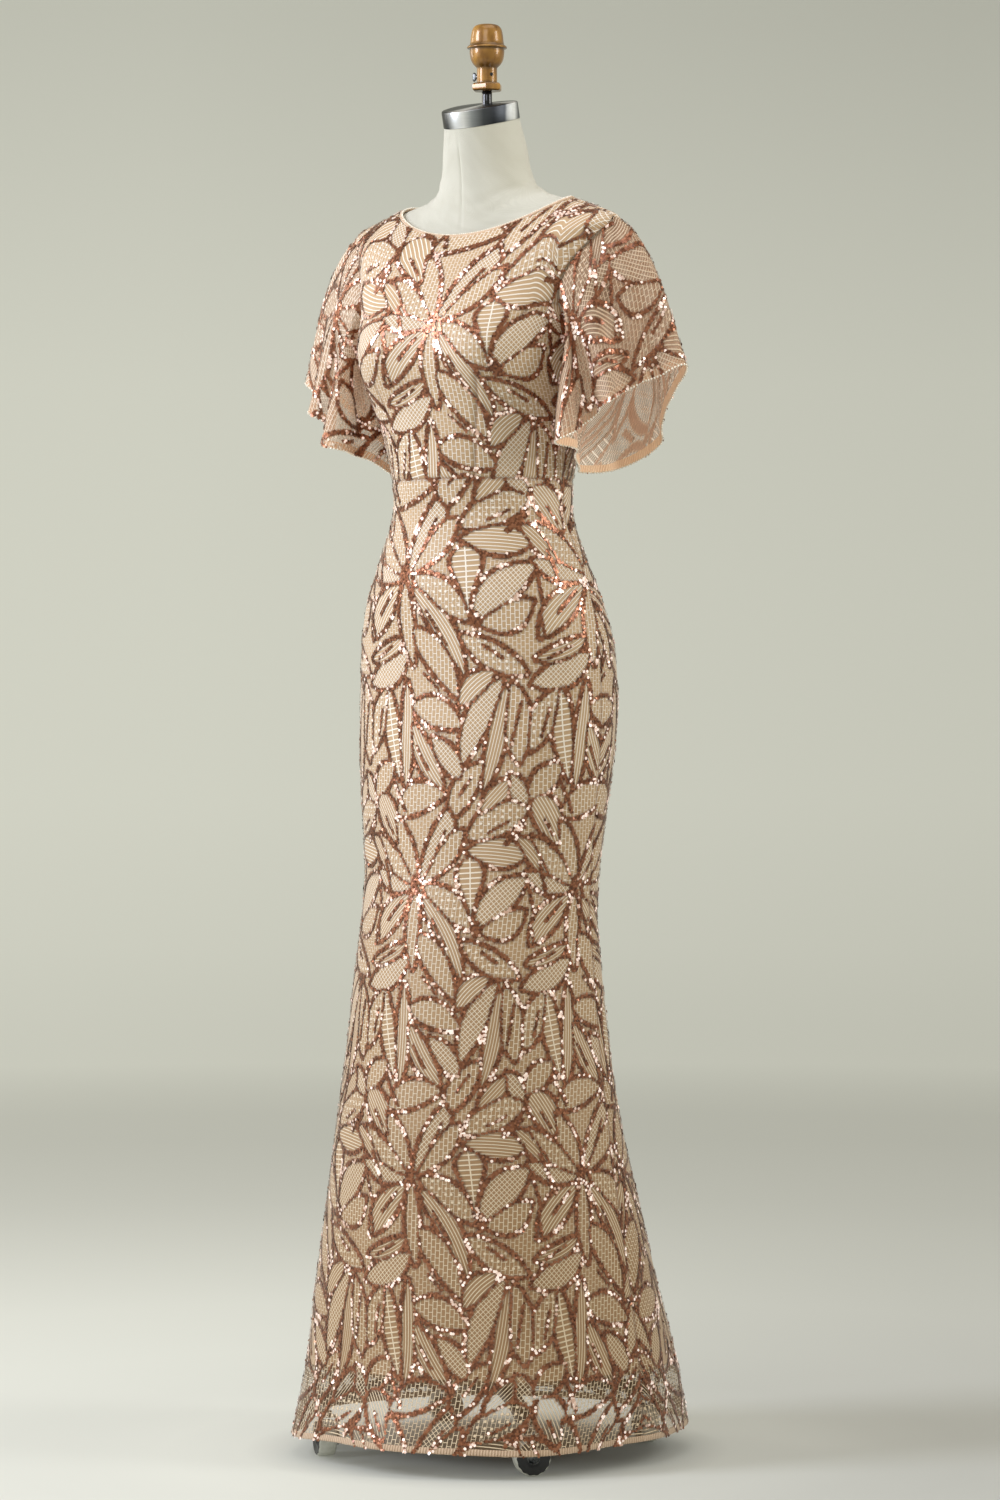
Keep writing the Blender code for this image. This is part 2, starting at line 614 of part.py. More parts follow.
def pole_and_hub(steel, cast):
    pole = [circle(POLE_RADIUS, (0, 0, z), sides=20)
            for z in (HUB_TOP + GAP, FORM_BOTTOM_LEVEL - GAP)]
    stack_of_rings("pole", pole, steel)
    half_side = math.pi / WHEEL_SIDES
    profile = ((0.024, HUB_BOTTOM), (HUB_RADIUS, HUB_BOTTOM + 0.005), (HUB_RADIUS, 0.114),
               (0.021, 0.122), (0.018, HUB_TOP))
    hub = [circle(r, (0, 0, z), sides=WHEEL_SIDES, start=LEG_AZIMUTH + half_side)
           for r, z in profile]
    stack_of_rings("base_hub", hub, cast)


def leg(name, azimuth, cast):
    """A tapered arm from the hub to the caster's stem, bevelled along its length."""
    along = np.array([math.cos(azimuth), math.sin(azimuth), 0])
    across = np.array([-along[1], along[0], 0])
    start = HUB_RADIUS * math.cos(math.pi / WHEEL_SIDES) + GAP
    # distance from the pole, height of the underside, thickness, width
    stations = ((start, 0.080, 0.030, 0.024), (0.060, 0.081, 0.025, 0.022),
                (0.110, 0.076, 0.021, 0.020), (0.165, 0.066, 0.017, 0.019),
                (0.189, LEG_END_BOTTOM, 0.015, 0.022), (0.212, LEG_END_BOTTOM, 0.013, 0.022),
                (0.218, LEG_END_BOTTOM + 0.002, 0.009, 0.014))
    rings = []
    for distance, bottom, thick, width in stations:
        cut = 0.22 * thick
        half = width / 2
        corners = ((-half + cut, 0), (half - cut, 0), (half, cut), (half, thick - cut),
                   (half - cut, thick), (cut - half, thick), (-half, thick - cut), (-half, cut))
        rings.append([along * distance + across * w + np.array([0, 0, bottom + h])
                      for w, h in corners])
    stack_of_rings(name, rings, cast)


def caster(number, azimuth, chrome, rubber):
    """A swivelling bracket with one cheek, and a wheel on a stub axle beside it."""
    along = np.array([math.cos(azimuth), math.sin(azimuth), 0])
    across = np.array([-along[1], along[0], 0])
    swivel = along * CASTER_DISTANCE
    axle = swivel + across * CASTER_TRAIL + np.array([0, 0, WHEEL_CENTRE])

    pivot = bpy.data.objects.new(f"caster_{number}_swivel_axis", None)
    pivot.location = swivel
    hub = bpy.data.objects.new(f"caster_{number}_wheel_axis", None)
    hub.location = axle
    for empty in (pivot, hub):
        bpy.context.scene.collection.objects.link(empty)
    bpy.context.view_layer.update()
    hub.parent = pivot
    hub.matrix_parent_inverse = pivot.matrix_world.inverted()

    # the bracket, as sections across the wheel's rolling direction: an L with a stem on top
    low_cheek = WHEEL_CENTRE - 0.007
    corner = ((-CHEEK_OUTER, low_cheek), (-CHEEK_INNER, low_cheek),
              (-CHEEK_INNER, CASTER_PLATE_BOTTOM), (0.008, CASTER_PLATE_BOTTOM),
              (0.008, CASTER_PLATE_TOP), (-CHEEK_OUTER, CASTER_PLATE_TOP))
    rings = []
    for w in (-0.008, 0.0165):
        rings.append([swivel + along * a + across * w + np.array([0, 0, z]) for a, z in corner])
    bracket = stack_of_rings(f"caster_bracket_{number}", rings, chrome, pivot, tuple(swivel))
    stem = [circle(STEM_RADIUS, swivel + np.array([0, 0, z]), sides=12)
            for z in (CASTER_PLATE_TOP - 0.001, STEM_TOP)]
    helper = stack_of_rings(f"stem_{number}", stem, chrome)
    helper.hide_render = True
    helper.display_type = "WIRE"
    joined = bracket.modifiers.new("stem", "BOOLEAN")
    joined.operation = "UNION"
    joined.object = helper

    half_side = math.pi / WHEEL_SIDES
    # distance along the axle, radius: stub axle, inner face, tread, outer face, hub cap
    tread = WHEEL_HALF_WIDTH - 0.0025
    profile = ((GAP - CHEEK_INNER, 0.0035), (-WHEEL_HALF_WIDTH - 0.0002, 0.0035),
               (-WHEEL_HALF_WIDTH, 0.0180), (-tread, WHEEL_RADIUS), (tread, WHEEL_RADIUS),
               (WHEEL_HALF_WIDTH, 0.0185), (WHEEL_HALF_WIDTH - 0.0012, 0.0170),
               (WHEEL_HALF_WIDTH - 0.0012, 0.0080), (WHEEL_HALF_WIDTH + 0.0002, 0.0065),
               (WHEEL_HALF_WIDTH + 0.0012, 0.0035))
    wheel = [circle(r, axle + along * a, along=along, sides=WHEEL_SIDES, start=half_side)
             for a, r in profile]
    stack_of_rings(f"caster_wheel_{number}", wheel, rubber, hub, tuple(axle))


# ---------------------------------------------------------------- build


def main():
    for leftover in list(bpy.data.objects):
        bpy.data.objects.remove(leftover)

    mesh_cloth = material("sequinned mesh", (0.52, 0.30, 0.21), 0.45, 0.2)
    lining_cloth = material("nude lining", (0.68, 0.53, 0.39), 0.75)
    binding = material("nude binding", (0.74, 0.60, 0.47), 0.7)
    nylon = material("zip tape", (0.66, 0.50, 0.37), 0.7)
    canvas = material("form canvas", (0.80, 0.77, 0.66), 0.85)
    steel = material("brushed steel", (0.62, 0.62, 0.63), 0.3, 1.0)
    brass = material("aged brass", (0.42, 0.22, 0.06), 0.35, 1.0)
    black = material("blackened steel", (0.03, 0.03, 0.035), 0.4, 0.6)
    cast = material("painted cast iron", (0.10, 0.10, 0.10), 0.5)
    chrome = material("chrome", (0.80, 0.80, 0.82), 0.12, 1.0)
    rubber = material("black nylon wheel", (0.02, 0.02, 0.02), 0.35)

    shell = (SHELL_INNER, SHELL_OUTER)
    lining = (LINING_INNER, LINING_OUTER)
    for side, suffix in (("front", "front"), ("left", "back_left"), ("right", "back_right")):
        panel(f"skirt_{suffix}", SKIRT_LEVELS, shell, side, mesh_cloth)
        panel(f"bodice_{suffix}", BODICE_LEVELS, shell, side, mesh_cloth)
        panel(f"skirt_lining_{suffix}", SKIRT_LINING_LEVELS, lining, side, lining_cloth)
        panel(f"bodice_lining_{suffix}", BODICE_LEVELS, lining, side, lining_cloth)
    bound_edge(binding)
    sleeve("sleeve_left", 1, mesh_cloth)
    sleeve("sleeve_right", -1, mesh_cloth)
    zip_strip(nylon)
    zip_slider_and_pull(brass)

    dress_form(canvas, steel)
    finial(brass, black, steel)
    pole_and_hub(steel, cast)
    for number in range(1, LEG_COUNT + 1):
        azimuth = LEG_AZIMUTH + (number - 1) * math.tau / LEG_COUNT
        leg(f"leg_{number}", azimuth, cast)
        caster(number, azimuth, chrome, rubber)


main()
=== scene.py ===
import math

import bmesh
import bpy
import numpy as np
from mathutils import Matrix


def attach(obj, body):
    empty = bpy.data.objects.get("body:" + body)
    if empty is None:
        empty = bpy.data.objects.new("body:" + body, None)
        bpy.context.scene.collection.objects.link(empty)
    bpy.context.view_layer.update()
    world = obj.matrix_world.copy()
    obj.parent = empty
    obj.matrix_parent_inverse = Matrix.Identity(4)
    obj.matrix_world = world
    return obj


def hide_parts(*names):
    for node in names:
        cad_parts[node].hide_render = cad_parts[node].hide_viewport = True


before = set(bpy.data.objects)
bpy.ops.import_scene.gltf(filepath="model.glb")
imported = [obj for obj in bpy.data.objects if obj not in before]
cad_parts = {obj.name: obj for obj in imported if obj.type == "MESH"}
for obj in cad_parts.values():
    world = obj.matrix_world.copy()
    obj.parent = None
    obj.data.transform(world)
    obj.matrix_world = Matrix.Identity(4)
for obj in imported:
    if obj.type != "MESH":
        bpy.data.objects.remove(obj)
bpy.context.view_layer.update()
onForm = "dress_and_stand"  # the body that the gown and the form ride on
rng = np.random.default_rng(4093)
print("stage: packed frame loaded")


# small helpers for nodes, materials and meshes

def linearColour(hexCode):
    # each sRGB channel c turns to c/12.92 below 0.04045, otherwise to ((c + 0.055)/1.055)^2.4
    channels = [int(hexCode[i:i + 2], 16) / 255 for i in (1, 3, 5)]
    return (*(c / 12.92 if c <= 0.04045 else ((c + 0.055) / 1.055) ** 2.4 for c in channels), 1.0)


def feed(node, inputs):
    # each socket, by name or number, gets a value, a hex colour or another node's output
    for key, value in inputs.items() if isinstance(inputs, dict) else enumerate(inputs):
        if isinstance(value, bpy.types.NodeSocket):
            node.id_data.links.new(value, node.inputs[key])
        else:
            node.inputs[key].default_value = linearColour(value) if isinstance(value, str) else value


def addNode(tree, kind, inputs=(), output=0, stops=(), **settings):
    # one node with its settings, what feeds it and, on a colour ramp, its stops; gives one output
    made = tree.nodes.new("ShaderNode" + kind)
    for key, value in settings.items():
        setattr(made, key, value)
    feed(made, inputs)
    for number, (place, colour) in enumerate([*stops[:1], *stops[-1:], *stops[1:-1]]):
        elements = made.color_ramp.elements
        element = elements[number] if number < 2 else elements.new(place)
        element.position, element.color = place, linearColour(colour) if isinstance(colour, str) else colour
    return made.outputs[output]


def newMaterial(name, inputs):
    # a material whose shader has these inputs, with its node tree and its shader
    made = bpy.data.materials.new(name)
    made.use_nodes = True
    shader = made.node_tree.nodes["Principled BSDF"]
    feed(shader, inputs)
    return made, made.node_tree, shader


def putMesh(name, points, faces, materials, slot=None, node=None, body=onForm, smooth=True, finish=None,
            uv=None, attributes=None):
    # one mesh of points and blocks of faces, which rides on a body and stands for a CAD node
    mesh = bpy.data.meshes.new(name)
    blocks = faces if isinstance(faces, list) else [faces]
    mesh.from_pydata(np.reshape(points, (-1, 3)).tolist(), [], sum((block.tolist() for block in blocks), []))
    for material in materials:
        mesh.materials.append(material)
    if smooth:
        mesh.shade_smooth()
    if uv is not None:
        corners = np.empty(len(mesh.loops), np.int32)
        mesh.loops.foreach_get("vertex_index", corners)
        mesh.uv_layers.new(name="cloth").data.foreach_set("uv", uv.reshape(-1, 2)[corners].ravel())
    for key, values in (attributes or {}).items():
        kind, field = ("FLOAT_VECTOR", "vector") if values.ndim == 3 else ("FLOAT", "value")
        mesh.attributes.new(key, kind, "POINT").data.foreach_set(field, values.ravel().astype(np.float32))
    if finish is not None:
        mesh.polygons.foreach_set("material_index", np.asarray(finish, np.int32))
    made = bpy.data.objects.new(name, mesh)
    bpy.context.scene.collection.objects.link(made)
    if body:
        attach(made, body)
    if node:
        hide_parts(node)
    return made


def gridFaces(rows, columns, flip=False):
    # quads of a grid whose points are numbered row by row
    number = np.arange(rows * columns).reshape(rows, columns)
    quads = np.stack([number[:-1, :-1], number[:-1, 1:], number[1:, 1:], number[1:, :-1]], -1).reshape(-1, 4)
    return quads[:, ::-1] if flip else quads


def roundFaces(rows, sides, hoop=False):
    # quads between rings of points, and one face over each end, or quads back to the first ring
    number = np.arange(rows * sides).reshape(rows, sides)
    if hoop:
        number = np.concatenate([number, number[:1]])
    after = np.roll(number, -1, axis=1)
    quads = np.stack([number[:-1], after[:-1], after[1:], number[1:]], -1).reshape(-1, 4)
    return [quads] if hoop else [quads, np.stack([number[0, ::-1], number[-1]])]


def unit(vectors):
    # each vector over its own length
    return vectors / np.maximum(np.linalg.norm(vectors, axis=-1, keepdims=True), 1e-12)


def bell(distance, reach):
    # a bell curve: 1 in the middle and 0.37 at its reach
    return np.exp(-((distance / reach) ** 2))


def wayThrough(value, start, end):
    # how much of the way from start to end a value has gone, held between 0 and 1
    return np.clip((value - start) / (end - start), 0, 1)


def spread(*columns):
    # columns of different shapes, each spread over the whole grid, as one array of points
    return np.stack(np.broadcast_arrays(*columns), -1)


def fullTurn(sides):
    # so many even angles round a circle
    return np.arange(sides) * 2 * math.pi / sides


def lengthAlong(points, axis=0):
    # how far each point lies along its line of points, as the sum of the steps before it
    steps = np.linalg.norm(np.diff(points, axis=axis), axis=-1)
    return np.cumsum(np.insert(steps, 0, 0.0, axis=axis), axis=axis)


def evenlyAlong(line, spacing):
    # points along a line, at the spacing nearest to this one that fills it with whole steps
    lengths = lengthAlong(line)
    at = np.arange(spacing / 2, lengths[-1], lengths[-1] / round(lengths[-1] / spacing))
    return np.stack([np.interp(at, lengths, line[:, k]) for k in range(3)], 1)


def smoothThrough(knots, values, at):
    # a cubic between knots whose slope at each knot is that of the knots beside it
    slopes = np.gradient(values, knots)
    at = np.clip(at, knots[0], knots[-1])
    left = np.clip(np.searchsorted(knots, at, side="right") - 1, 0, len(knots) - 2)
    span = knots[left + 1] - knots[left]
    t = (at - knots[left]) / span
    return (values[left] * (1 + 2 * t) * (1 - t) ** 2 + span * slopes[left] * t * (1 - t) ** 2
            + values[left + 1] * t**2 * (3 - 2 * t) - span * slopes[left + 1] * t**2 * (1 - t))


def smoothRound(turns, values, at):
    # the same cubic, closed on itself after one turn
    wrapped = np.concatenate([turns[-2:] - 1, turns, turns[:2] + 1])
    return smoothThrough(wrapped, np.concatenate([values[-2:], values, values[:2]]), at % 1.0)


def roundedRows(rows, between):
    # the same cubic through rows of numbers, with so many new rows in each span
    rows = np.asarray(rows, float)
    at = np.linspace(0, len(rows) - 1, (len(rows) - 1) * between + 1)
    return np.stack([smoothThrough(np.arange(len(rows), dtype=float), column, at) for column in rows.T], 1)


def turned(profile, sides, origin=(0, 0, 0), axis=(0, 0, 1), swell=1.0):
    # rows of (radius, distance along the axis), in millimetres, carried round the axis by sine and
    # cosine; swell is a factor on the radius
    profile = np.asarray(profile, float) / 1000
    axis = unit(np.asarray(axis, float))
    first = unit(np.cross((0.0, 0.0, 1.0) if abs(axis[2]) < 0.9 else (0.0, 1.0, 0.0), axis))
    turn = fullTurn(sides)
    ring = np.cos(turn)[:, None] * first + np.sin(turn)[:, None] * np.cross(axis, first)
    radius = np.broadcast_to(profile[:, :1] * swell, (len(profile), sides))
    return np.asarray(origin, float) + profile[:, 1, None, None] * axis + radius[..., None] * ring


def putParts(name, parts, **more):
    # closed shapes in one mesh, each (rows of points round it, its material, whether it is a hoop),
    # with faces turned outwards and edges sharper than 35 degrees kept sharp
    materials = list(dict.fromkeys(part[1] for part in parts))
    points, faces, finish, start = [], [], [], 0
    for rows, material, *hoop in parts:
        for block in roundFaces(*rows.shape[:2], *hoop):
            faces.append(block + start)
            finish.append(np.full(len(block), materials.index(material)))
        points.append(rows.reshape(-1, 3))
        start += len(points[-1])
    made = putMesh(name, np.concatenate(points), faces, materials, finish=np.concatenate(finish), **more)
    shape = bmesh.new()
    shape.from_mesh(made.data)
    bmesh.ops.recalc_face_normals(shape, faces=shape.faces)
    shape.to_mesh(made.data)
    shape.free()
    made.data.set_sharp_from_angle(angle=math.radians(35))
    return made


def putBeads(name, line, settings, slot):
    # a small ball of 24 faces at even places along a line: a top, rings at 45, 90 and 135 degrees
    # from it, and a bottom
    centres = evenlyAlong(line, settings["spacing"])
    lat, lon = np.radians([[45.0], [90.0], [135.0]]), fullTurn(6)
    rings = spread(np.sin(lat) * np.cos(lon), np.sin(lat) * np.sin(lon), np.cos(lat))
    ball = np.concatenate([[[0, 0, 1.0]], rings.reshape(-1, 3), [[0, 0, -1.0]]])
    a, b = np.arange(6), np.roll(np.arange(6), -1)
    ends = np.concatenate([np.stack([0 * a, 1 + a, 1 + b], 1), np.stack([0 * a + 19, 13 + b, 13 + a], 1)])
    belts = np.concatenate([np.stack([k + a, k + 6 + a, k + 6 + b, k + b], 1) for k in (1, 7)])
    shift = 20 * np.arange(len(centres))[:, None, None]
    return putMesh(name, centres[:, None] + ball * settings["bead"],
                   [(shift + ends).reshape(-1, 3), (shift + belts).reshape(-1, 4)], [creamBead], slot)


# the body that the cloth lies on, from the same table and formulas as the solids

sections = np.array([  # level, half width, front, back, z in front, z at the back, squareness; thousandths
    (30, 234, 235, 234.5, 30, 30, 0), (110, 226, 207, 217, 110, 110, 0), (205, 212, 199, 182, 205, 205, 0),
    (305, 194, 193, 154, 305, 305, 0), (405, 177, 188, 119, 405, 405, 0), (505, 164, 175, 96, 505, 505, 0),
    (600, 155, 162, 82, 600, 600, 0), (660, 150, 150, 77, 660, 660, 0), (720, 152, 136, 86, 720, 720, 0),
    (800, 159, 129, 105, 800, 800, 10), (870, 165, 124, 123, 870, 870, 10),
    (945, 166, 117, 130, 945, 945, 10), (1000, 163, 119, 115, 1000, 1000, 10),
    (1050, 151, 122, 92, 1050, 1050, 10), (1100, 132, 116, 75, 1100, 1100, 0),
    (1150, 113, 111, 73, 1150, 1150, 0), (1193, 111, 116, 81, 1193, 1193, 0),
    (1240, 119, 121, 92, 1240, 1240, 20), (1285, 129, 128, 99, 1285, 1285, 50),
    (1335, 140, 138, 103, 1335, 1335, 70), (1360, 145, 137, 105, 1358, 1358, 70),
    (1400, 152, 127, 106, 1391, 1394, 60), (1440, 161, 112, 101, 1420, 1429, 50),
    (1475, 172, 98, 92, 1444, 1459, 40), (1498, 182, 87, 82, 1461, 1480, 20),
    (1508, 185, 80, 75, 1469, 1491, 10), (1516, 169, 74, 68, 1476, 1500, 0),
    (1524, 147, 68, 62, 1482, 1509, 0), (1530, 130, 63, 58, 1487, 1516, 0),
    (1534, 118, 60, 55, 1490, 1521, 0), (1541, 93, 57, 54, 1499, 1530, 0),
    (1552, 71, 55, 54, 1518, 1545, 0), (1572, 58, 55, 52, 1555, 1568, 0), (1605, 51, 60, 44, 1594, 1610, 0),
    (1638, 46, 64, 23, 1622, 1644, 0),
]) / 1000
flutes = [
    # angle and half width in degrees, depth, sag, level where it starts
    (12, 13, -0.012, 0, 0.42), (43, 15, 0.007, 0.002, 0.36), (82, 12, 0.003, 0, 0.30),
    (106, 10, -0.006, 0, 0.34), (130, 14, 0.006, 0.005, 0.34), (154, 13, -0.008, 0.010, 0.30),
    (178, 12, 0.005, 0, 0.32), (200, 11, -0.006, 0, 0.36), (222, 14, 0.008, 0.002, 0.40),
    (252, 12, -0.006, 0, 0.42), (270, 10, 0.003, 0, 0.36), (288, 11, -0.005, 0, 0.40),
    (318, 15, 0.012, 0, 0.42),
]
levels = {"hem": 0.030, "liningHem": 0.110, "formBottom": 0.800, "zipBottom": 1.012, "waist": 1.193,
          "underarm": 1.360, "yoke": 1.385, "shoulder": 1.508, "binding": 1.5317}
layers = {"lining": 0.0020, "shell": 0.0040}  # distances out from the form's skin
bust = {"out": 0.019, "height": 1.345, "tall": 0.050, "aside": 0.085, "wide": 0.047}
armholeTurns = {"front": 0.50, "back": 0.42}  # how far each edge turns away from the side, in radians
sides = (("front", "front"), ("left", "back_left"), ("right", "back_right"))


def bodyPoint(angle, level):
    # an oval with its own front and back depth, swollen at its corners and tilted towards the
    # neck, plus two rounded busts and the flutes that grow towards the hem
    angle, level = np.broadcast_arrays(np.asarray(angle, float), np.asarray(level, float))
    half, front, back, zFront, zBack, square = (
        smoothThrough(sections[:, 0], sections[:, k], level) for k in range(1, 7))
    cos, sin = np.cos(angle), np.sin(angle)
    x = half * cos * (1 + square * np.sin(2 * angle) ** 2)
    y = -np.where(sin > 0, front, back) * sin * (1 + square * np.sin(2 * angle) ** 2)
    z = level + ((zFront + zBack) / 2 - level) * sin**2 + (zFront - zBack) / 2 * sin
    height = bell(z - bust["height"], bust["tall"])
    for side in (-1, 1):
        y = y - bust["out"] * height * bell(x - side * bust["aside"], bust["wide"]) * np.clip(sin, 0, 1)
    for place, wide, depth, sag, rise in flutes:
        away = (np.degrees(angle) - place + 180) % 360 - 180
        share = bell(away, wide) * wayThrough(level, rise, levels["hem"]) ** 1.5
        x, y, z = x + depth * share * cos, y - depth * share * sin, z - sag * share
    return np.stack([x, y, z], axis=-1)


def bodyNormal(angle, level):
    # the cross product of a short step up and a short step round
    along = bodyPoint(angle + 1e-4, level) - bodyPoint(angle - 1e-4, level)
    up = bodyPoint(angle, level + 1e-5) - bodyPoint(angle, level - 1e-5)
    return unit(np.cross(up, along))


def evenLevels(low, high, step):
    # levels whose rows lie about one step apart, measured where the rows are furthest apart
    fine = np.linspace(low, high, 1200)
    lines = bodyPoint(np.radians([0.0, 45.0, 90.0, 135.0, 225.0, 270.0])[:, None], fine[None])
    moved = np.linalg.norm(np.diff(lines, axis=1), axis=-1).max(axis=0)
    travelled = np.insert(np.cumsum(moved), 0, 0)
    count = int(math.ceil(travelled[-1] / step)) + 1
    return np.interp(np.linspace(0, travelled[-1], count), travelled, fine)


def armholeTurn(level, half):
    # the armhole's edge swings away from the side by a rounded half wave between its two levels
    share = wayThrough(level, levels["underarm"], levels["shoulder"])
    return armholeTurns[half] * np.clip(np.sin(math.pi * share), 0, 1) ** 0.6


def panelGrid(side, low, high, step, columns):
    # levels, outward normals and places on the body's skin: rows of even height, and columns from
    # edge to edge, of which the outer four ninths of each quarter make room for the armhole
    level = evenLevels(low, high, step)[:, None]
    part = np.linspace(0, 1, columns)
    turn = armholeTurn(level, "front" if side == "front" else "back")
    quarter = part * math.pi / 2 + turn * (1 - np.minimum(part * 9 / 4, 1))
    angle = {"front": np.concatenate([quarter, math.pi - quarter[:, -2::-1]], axis=1),
             "left": -quarter[:, ::-1], "right": math.pi + quarter}[side]
    level = np.broadcast_to(level, angle.shape)
    return level, bodyNormal(angle, level), bodyPoint(angle, level)


# the leaf pattern: one repeat, laid out one by one; its fields are worked out in centimetres

leafPattern = {
    "wide": 23.0, "tall": 36.3,  # the repeat
    "band": 0.54,  # how far the sequins reach out from a leaf
    "swell": 1.08,  # how much fuller each leaf is than the width in its row
    "blunt": 0.72,  # power of the half wave along a leaf; less than 1 makes its ends blunter
    "divide": 0.25,  # half of the line of sequins between two leaves that meet
    "sprigReach": 0.06,  # how far the sequins reach out from a loose stroke
    "leaves": [  # fill, foot x y, tip x y, width, tenths of the length to its widest, bow; millimetres
        ("comb", 0, 3, -38, 82, 25, 5, 0), ("dots", -5, 2, -70, 56, 27, 4.5, 3),
        ("lattice", -6, -5, -76, 14, 21, 5, 3), ("lattice", 7, 5, 57, 93, 26, 5, -4),
        ("comb", 13, 2, 69, 63, 31, 5.5, 3), ("dots", 15, -3, 83, -54, 29, 5, 5),
        ("ribs", 16, -17, 73, -118, 23, 4, 8), ("comb", 10, -64, 63, -144, 29, 4, 5),
        ("comb", 2, -10, 4, -106, 18, 5, -2), ("ribs", -9, -14, -66, -74, 29, 5, -4),
        ("bars", 85, -54, 79, 32, 31, 7.8, 0), ("lattice", 90, -52, 156, 9, 34, 5, 5),
        ("comb", 98, -60, 156, -33, 29, 5, -5), ("ribs", 75, 40, 152, 34, 31, 5.5, 2),
        ("dots", 76, 54, 156, 93, 33, 5, 3), ("plain", 94, 83, 134, 124, 20, 5, 0),
        ("ribs", 164, 104, 200, 46, 32, 4, 2), ("plain", 142, 56, 188, 8, 19, 4.5, 2),
        ("plain", 160, -99, 220, -76, 18, 5, -5), ("ribs", 109, -115, 66, -154, 24, 5, -4),
        ("lattice", 119, -122, 70, -222, 27, 5, -5), ("plain", 125, -134, 98, -252, 21, 4, 3),
        ("comb", 132, -128, 142, -220, 32, 5, 0), ("dots", 73, -72, 148, -116, 26, 5, -3),
        ("lattice", 154, -129, 226, -94, 29, 5, -5), ("dots", 156, -206, 186, -134, 28, 5, 2),
        ("bars", 188, -134, 206, -240, 22, 4.5, -2), ("ribs", 222, -126, 216, -250, 18, 5, 2),
        ("comb", 1, -154, 70, -179, 30, 4.5, 4), ("ribs", -2, -174, 43, -250, 25, 5, -4),
        ("lattice", 30, -192, 70, -242, 23, 5, 2), ("comb", -30, 84, 46, 106, 31, 4.5, 7),
        ("comb", 52, 77, 96, 142, 26, 5, 3), ("lattice", 131, 128, 154, 88, 19, 4, 0),
        ("comb", 156, -262, 196, -222, 25, 5, 3),
    ],
    "sprigs": [  # loose strokes of sequins: foot x y, tip x y, width; millimetres
        (0, 6, 0, -8, 10), (91, -49, 91, -62, 9), (22, 21, 46, 64, 1.6), (-26, 34, -49, 49, 1.6),
        (104, 62, 129, 74, 1.6), (149, 70, 126, 49, 5), (172, 26, 190, -22, 3), (159, 2, 169, -38, 3),
        (164, -46, 170, -76, 2.6), (99, -84, 120, -98, 2.2), (176, 78, 189, 58, 1.6),
        (31, -43, 52, -82, 1.6), (142, -150, 132, -200, 2), (173, -99, 202, -84, 1.6),
        (19, -116, 39, -136, 1.8), (209, -22, 186, -46, 3), (66, 104, 83, 126, 1.6),
        (196, 120, 214, 86, 3.4), (6, -202, 22, -229, 1.8), (168, -190, 176, -158, 2),
    ],
}
fillNames = ("comb", "lattice", "dots", "ribs", "bars", "plain")
flowerRows = np.array([  # a flower's middle: level, distance to the wearer's left, repeat's width
    [-0.0075, 0.0505, 0.2180], [0.3555, 0.0226, 0.2180], [0.7005, -0.0053, 0.2080],
    [1.0770, -0.0393, 0.2560], [1.4540, -0.0730, 0.2560]])


def strokePlace(x, y, footX, footY, tipX, tipY):
    # in the nearest copy of the repeat: the way along a stroke as a share of its length, the
    # distance to its left, and its length
    wide, tall = leafPattern["wide"], leafPattern["tall"]
    length = math.hypot(tipX - footX, tipY - footY)
    east, north = (tipX - footX) / length, (tipY - footY) / length
    dx = (x - (footX + tipX) / 2 + wide / 2) % wide - wide / 2
    dy = (y - (footY + tipY) / 2 + tall / 2) % tall - tall / 2
    return (dx * east + dy * north) / length + 0.5, dy * east - dx * north, length


def leafField(x, y):
    # for each place, how deep it lies inside its leaf (negative in the sequin band), which fill
    # that leaf has, and where it lies along and across the leaf; a leaf's outline is a half wave,
    # bowed sideways by a parabola
    best, second = np.full(x.shape, -9.0), np.full(x.shape, -9.0)
    fill, along, across = np.full(x.shape, -1), np.zeros(x.shape), np.zeros(x.shape)
    for name, *numbers in leafPattern["leaves"]:
        *ends, width, peak, bow = (n / 10 for n in numbers)
        t, off, length = strokePlace(x, y, *ends)
        inside = np.clip(t, 0, 1)
        off = off - bow * 4 * inside * (1 - inside)
        wave = np.sin(math.pi * inside ** (math.log(0.5) / math.log(peak))) ** leafPattern["blunt"]
        outline = leafPattern["swell"] * width / 2 * wave
        depth = np.where((t > 0) & (t < 1), outline - np.abs(off), -np.hypot((t - inside) * length, off))
        wins = depth > best
        second = np.where(wins, best, np.maximum(second, depth))
        best = np.where(wins, depth, best)
        fill = np.where(wins, fillNames.index(name), fill)
        along, across = np.where(wins, t * length, along), np.where(wins, off, across)
    depth = np.minimum(best, best - second - leafPattern["divide"])
    for numbers in leafPattern["sprigs"]:
        *ends, width = (n / 10 for n in numbers)
        t, off, length = strokePlace(x, y, *ends)
        near = np.hypot((t - np.clip(t, 0, 1)) * length, off) < width / 2 + leafPattern["sprigReach"]
        depth = np.where(near, -0.1, depth)
    return depth, fill, along, across


def skirtPattern(u, v):
    # the repeat's width and sideways place, and the count of repeats upwards, pass evenly from one
    # row of flowers to the next
    row, centre, wide = (np.interp(v, flowerRows[:, 0], values)
                         for values in (np.arange(-3.0, 2.0), flowerRows[:, 1], flowerRows[:, 2]))
    return (u - centre) / wide * leafPattern["wide"], row * leafPattern["tall"]


